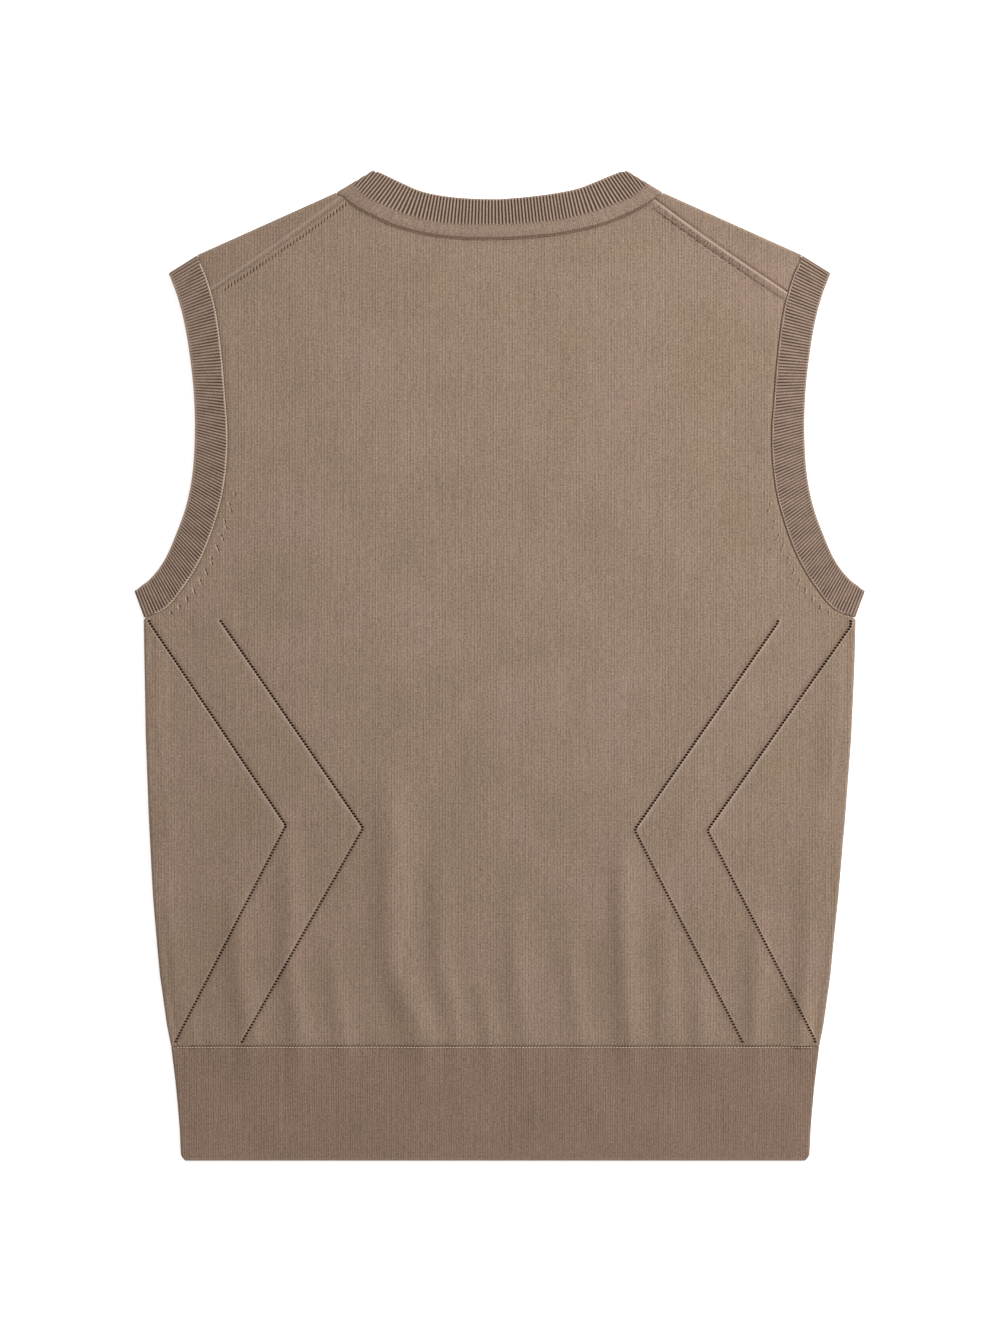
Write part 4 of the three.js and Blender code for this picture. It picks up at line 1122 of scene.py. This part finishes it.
def make_stitches(surface, rims):
    """All the sewing that shows, as four pieces. A row is given by its path, spacing, slant in
    degrees, length and radius. Dark rows are in yarn with painted shade, and pale rows in yarn with
    a painted highlight."""
    seams, dark, pale, marks = [], [], [], []
    t = np.linspace(0, 1, 400)
    close_row = (1.1, 0, 2.0, 0.32)
    # The neck's linking line: two rows of short slanted stitches over the gap and a darker one
    # below them, of painted shade
    halves = [(panel_edge(neck_point, t, 2, side), neck_point(t, 2, side)) for side in (-1, 1)]
    seam, band = [np.concatenate([left, right[::-1][1:]]) for left, right in zip(*halves)]
    out = unit(seam - band)
    sew(seams, raised(seam - out * 0.6, 3.4), 1.6, 64, 1.8, 0.38)
    sew(seams, raised(seam + out * 0.7, 3.3), 1.6, -64, 1.8, 0.38)
    sew(marks, raised(seam + out * 1.1, 3.36)[40:-40], 1.7, -24, 1.7, 0.32)
    # A close row low in each gap, so that no light comes up through the seam
    sew(seams, raised(seam - out * GAP / 2, 2.95), *close_row)
    sew(seams, across_hem(-225, 220, HEM_SEAM, 2.75), *close_row)
    ends = np.linspace(0.02, 0.985, 400)
    share = np.linspace(0.02, 0.985, 200)
    for side in (-1, 1):
        # The armholes: a pale chain on the left, a painted highlight, and a dark line on the right,
        # of painted shade
        arm = panel_edge(arm_point, ends, 1, side)
        inward = unit(arm - arm_point(ends, 1, side))
        middle = (panel_edge(arm_point, t, 1, side) + arm_point(t, 1, side)) / 2
        sew(seams, raised(middle, 2.9), *close_row)
        sew(seams if side < 0 else dark, raised(arm + inward * 0.1, 3.3), 1.25, 30, 1.4, 0.3)
        sew(pale, raised(arm - inward * 1.15, 3.72), 2.0, 28 * side, 2.1, 0.55 if side < 0 else 0.3)
        # The shoulder seams
        sew(seams, raised(shoulder_seam(side, share, 0.0), 3.4), 1.9, 70 * side, 1.5, 0.28)
    # Slanted dashes under the left shoulder seam
    path = shoulder_seam(-1, np.linspace(0.0, 0.95, 200), -3.4)
    sew(marks, path, 2.6, 60, 3.3, 0.5, surface)
    sew(pale, path + SHOULDER_OUT * [-1.2, 0.5], 2.6, 60, 2.8, 0.32, surface, -0.1)
    # Three rows below the right seam's ridge, and ticks across it like the turns of a cord
    rows = ((1.1, marks, 0.34, -0.1), (2.1, pale, 0.3, -0.1), (3.3, marks, 0.28, -0.12))
    for drop, group, radius, lift in rows:
        path = shoulder_seam(1, np.linspace(0.02, 0.9, 200), -(RIDGE + drop))
        sew(group, path, 2.3, 0, 1.6, radius, surface, lift)
    sew(marks, shoulder_seam(1, np.linspace(0.02, 0.8, 200), -RIDGE / 2), 2.1, 80, 3.6, 0.3, surface, -0.2)
    # The hem's linking: a dashed pale row of painted highlight under a darker one of painted shade
    sew(marks, across_hem(-223, 218, HEM_SEAM + 0.65, 3.45), 2.1, 0, 1.1, 0.3)
    sew(pale, across_hem(-223, 218, HEM_SEAM - 0.8, 3.78), 2.1, 0, 1.6, 0.38)
    # Fashioning marks beside the armholes, a dark stroke of painted shade and a pale one of painted
    # highlight, and more of them between, nearer the band
    for side, strong in ((-1, 1.0), (1, 0.7)):
        flat = FASHIONING * [-side, 1]
        between = (flat[1:] + flat[:-1]) / 2 + [2.6 * side, -1.2]
        way = np.tile([[0.42 * side, 0.91]], (len(flat), 1))
        for group, places, heading, length, radius, lift in (
            (marks, flat, way, 3.4, 0.52, -0.05), (pale, flat + [1.1 * side, 0.2], way, 3.4, 0.46, -0.08),
            (marks, between, turned(way[1:], 20), 3.0, 0.5, 0.0),
            (pale, between + [1.0 * side, 0.2], way[1:], 2.8, 0.42, 0.0),
        ):
            group.append(yarn_bits(lay_on(surface, places, lift), heading, length * strong, radius * strong))
    pale.append(eyelet_rims(surface, rims))
    return [
        stitch_piece("linking_stitches", seams, seam_yarn),
        stitch_piece("armhole_stitches", dark, dark_yarn),
        stitch_piece("edge_stitches", pale, lit_yarn),
        stitch_piece("fashioning_marks", marks, dark_yarn),
    ]


# The garment
back, back_surface, eyelet_cells = make_back()
front = make_front()
neckband = make_neckband()
arm_left = make_armband(-1, "arm_rib_left")
arm_right = make_armband(1, "arm_rib_right")
hem = make_hem()
stitches = make_stitches(back_surface, eyelet_cells)

for piece, node, slot in (
    (back, "back_panel", "jersey"), (front, "front_panel", "jersey"),
    (neckband, "neckband", "ribbing"), (hem, "hem_band", "ribbing"),
    (arm_left, "armband_left", "ribbing"), (arm_right, "armband_right", "ribbing"),
):
    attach(piece, "root")
    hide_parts(node)


# Floor, light and camera
def make_floor():
    """A plain pale floor just under the vest. It glows a little, so that it comes out white."""
    mesh = bpy.data.meshes.new("floor")
    reach, level = 3.0, -0.0003
    corners = [(x * reach, y * reach, level) for x, y in ((-1, -1), (1, -1), (1, 1), (-1, 1))]
    mesh.from_pydata(corners, [], [(0, 1, 2, 3)])
    floor = bpy.data.objects.new("floor", mesh)
    bpy.context.scene.collection.objects.link(floor)
    material = bpy.data.materials.new("matte_white_paper")
    material.use_nodes = True
    shader = material.node_tree.nodes["Principled BSDF"]
    set_inputs(shader, {
        "Base Color": (0.93, 0.93, 0.93, 1), "Roughness": 0.95, "Specular IOR Level": 0.1,
        "Emission Color": (1, 1, 1, 1), "Emission Strength": 0.5,
    })
    mesh.materials.append(material)


def make_light():
    """Soft studio light: an even pale room and one large soft lamp from the upper right."""
    world = bpy.data.worlds.new("studio")
    world.use_nodes = True
    set_inputs(world.node_tree.nodes["Background"], {"Color": (1, 1, 1, 1), "Strength": 0.64})
    bpy.context.scene.world = world
    lamp = bpy.data.lights.new("key", "AREA")
    lamp.energy = 59
    lamp.size = 1.3
    key = bpy.data.objects.new("key", lamp)
    key.location = (1.45, 1.05, 1.25)
    key.rotation_euler = (-Vector(key.location)).to_track_quat("-Z", "Y").to_euler()
    key.visible_camera = False
    bpy.context.scene.collection.objects.link(key)


def make_camera():
    """Straight above the cloth, with the photograph's frame."""
    data = bpy.data.cameras.new("camera")
    data.lens = 100
    data.sensor_width = 36
    data.clip_end = 50
    camera = bpy.data.objects.new("camera", data)
    camera.location = (0.0002, -0.00124, 2.56)
    bpy.context.scene.collection.objects.link(camera)
    bpy.context.scene.camera = camera


make_floor()
make_light()
make_camera()
bpy.context.scene.view_settings.view_transform = "Standard"
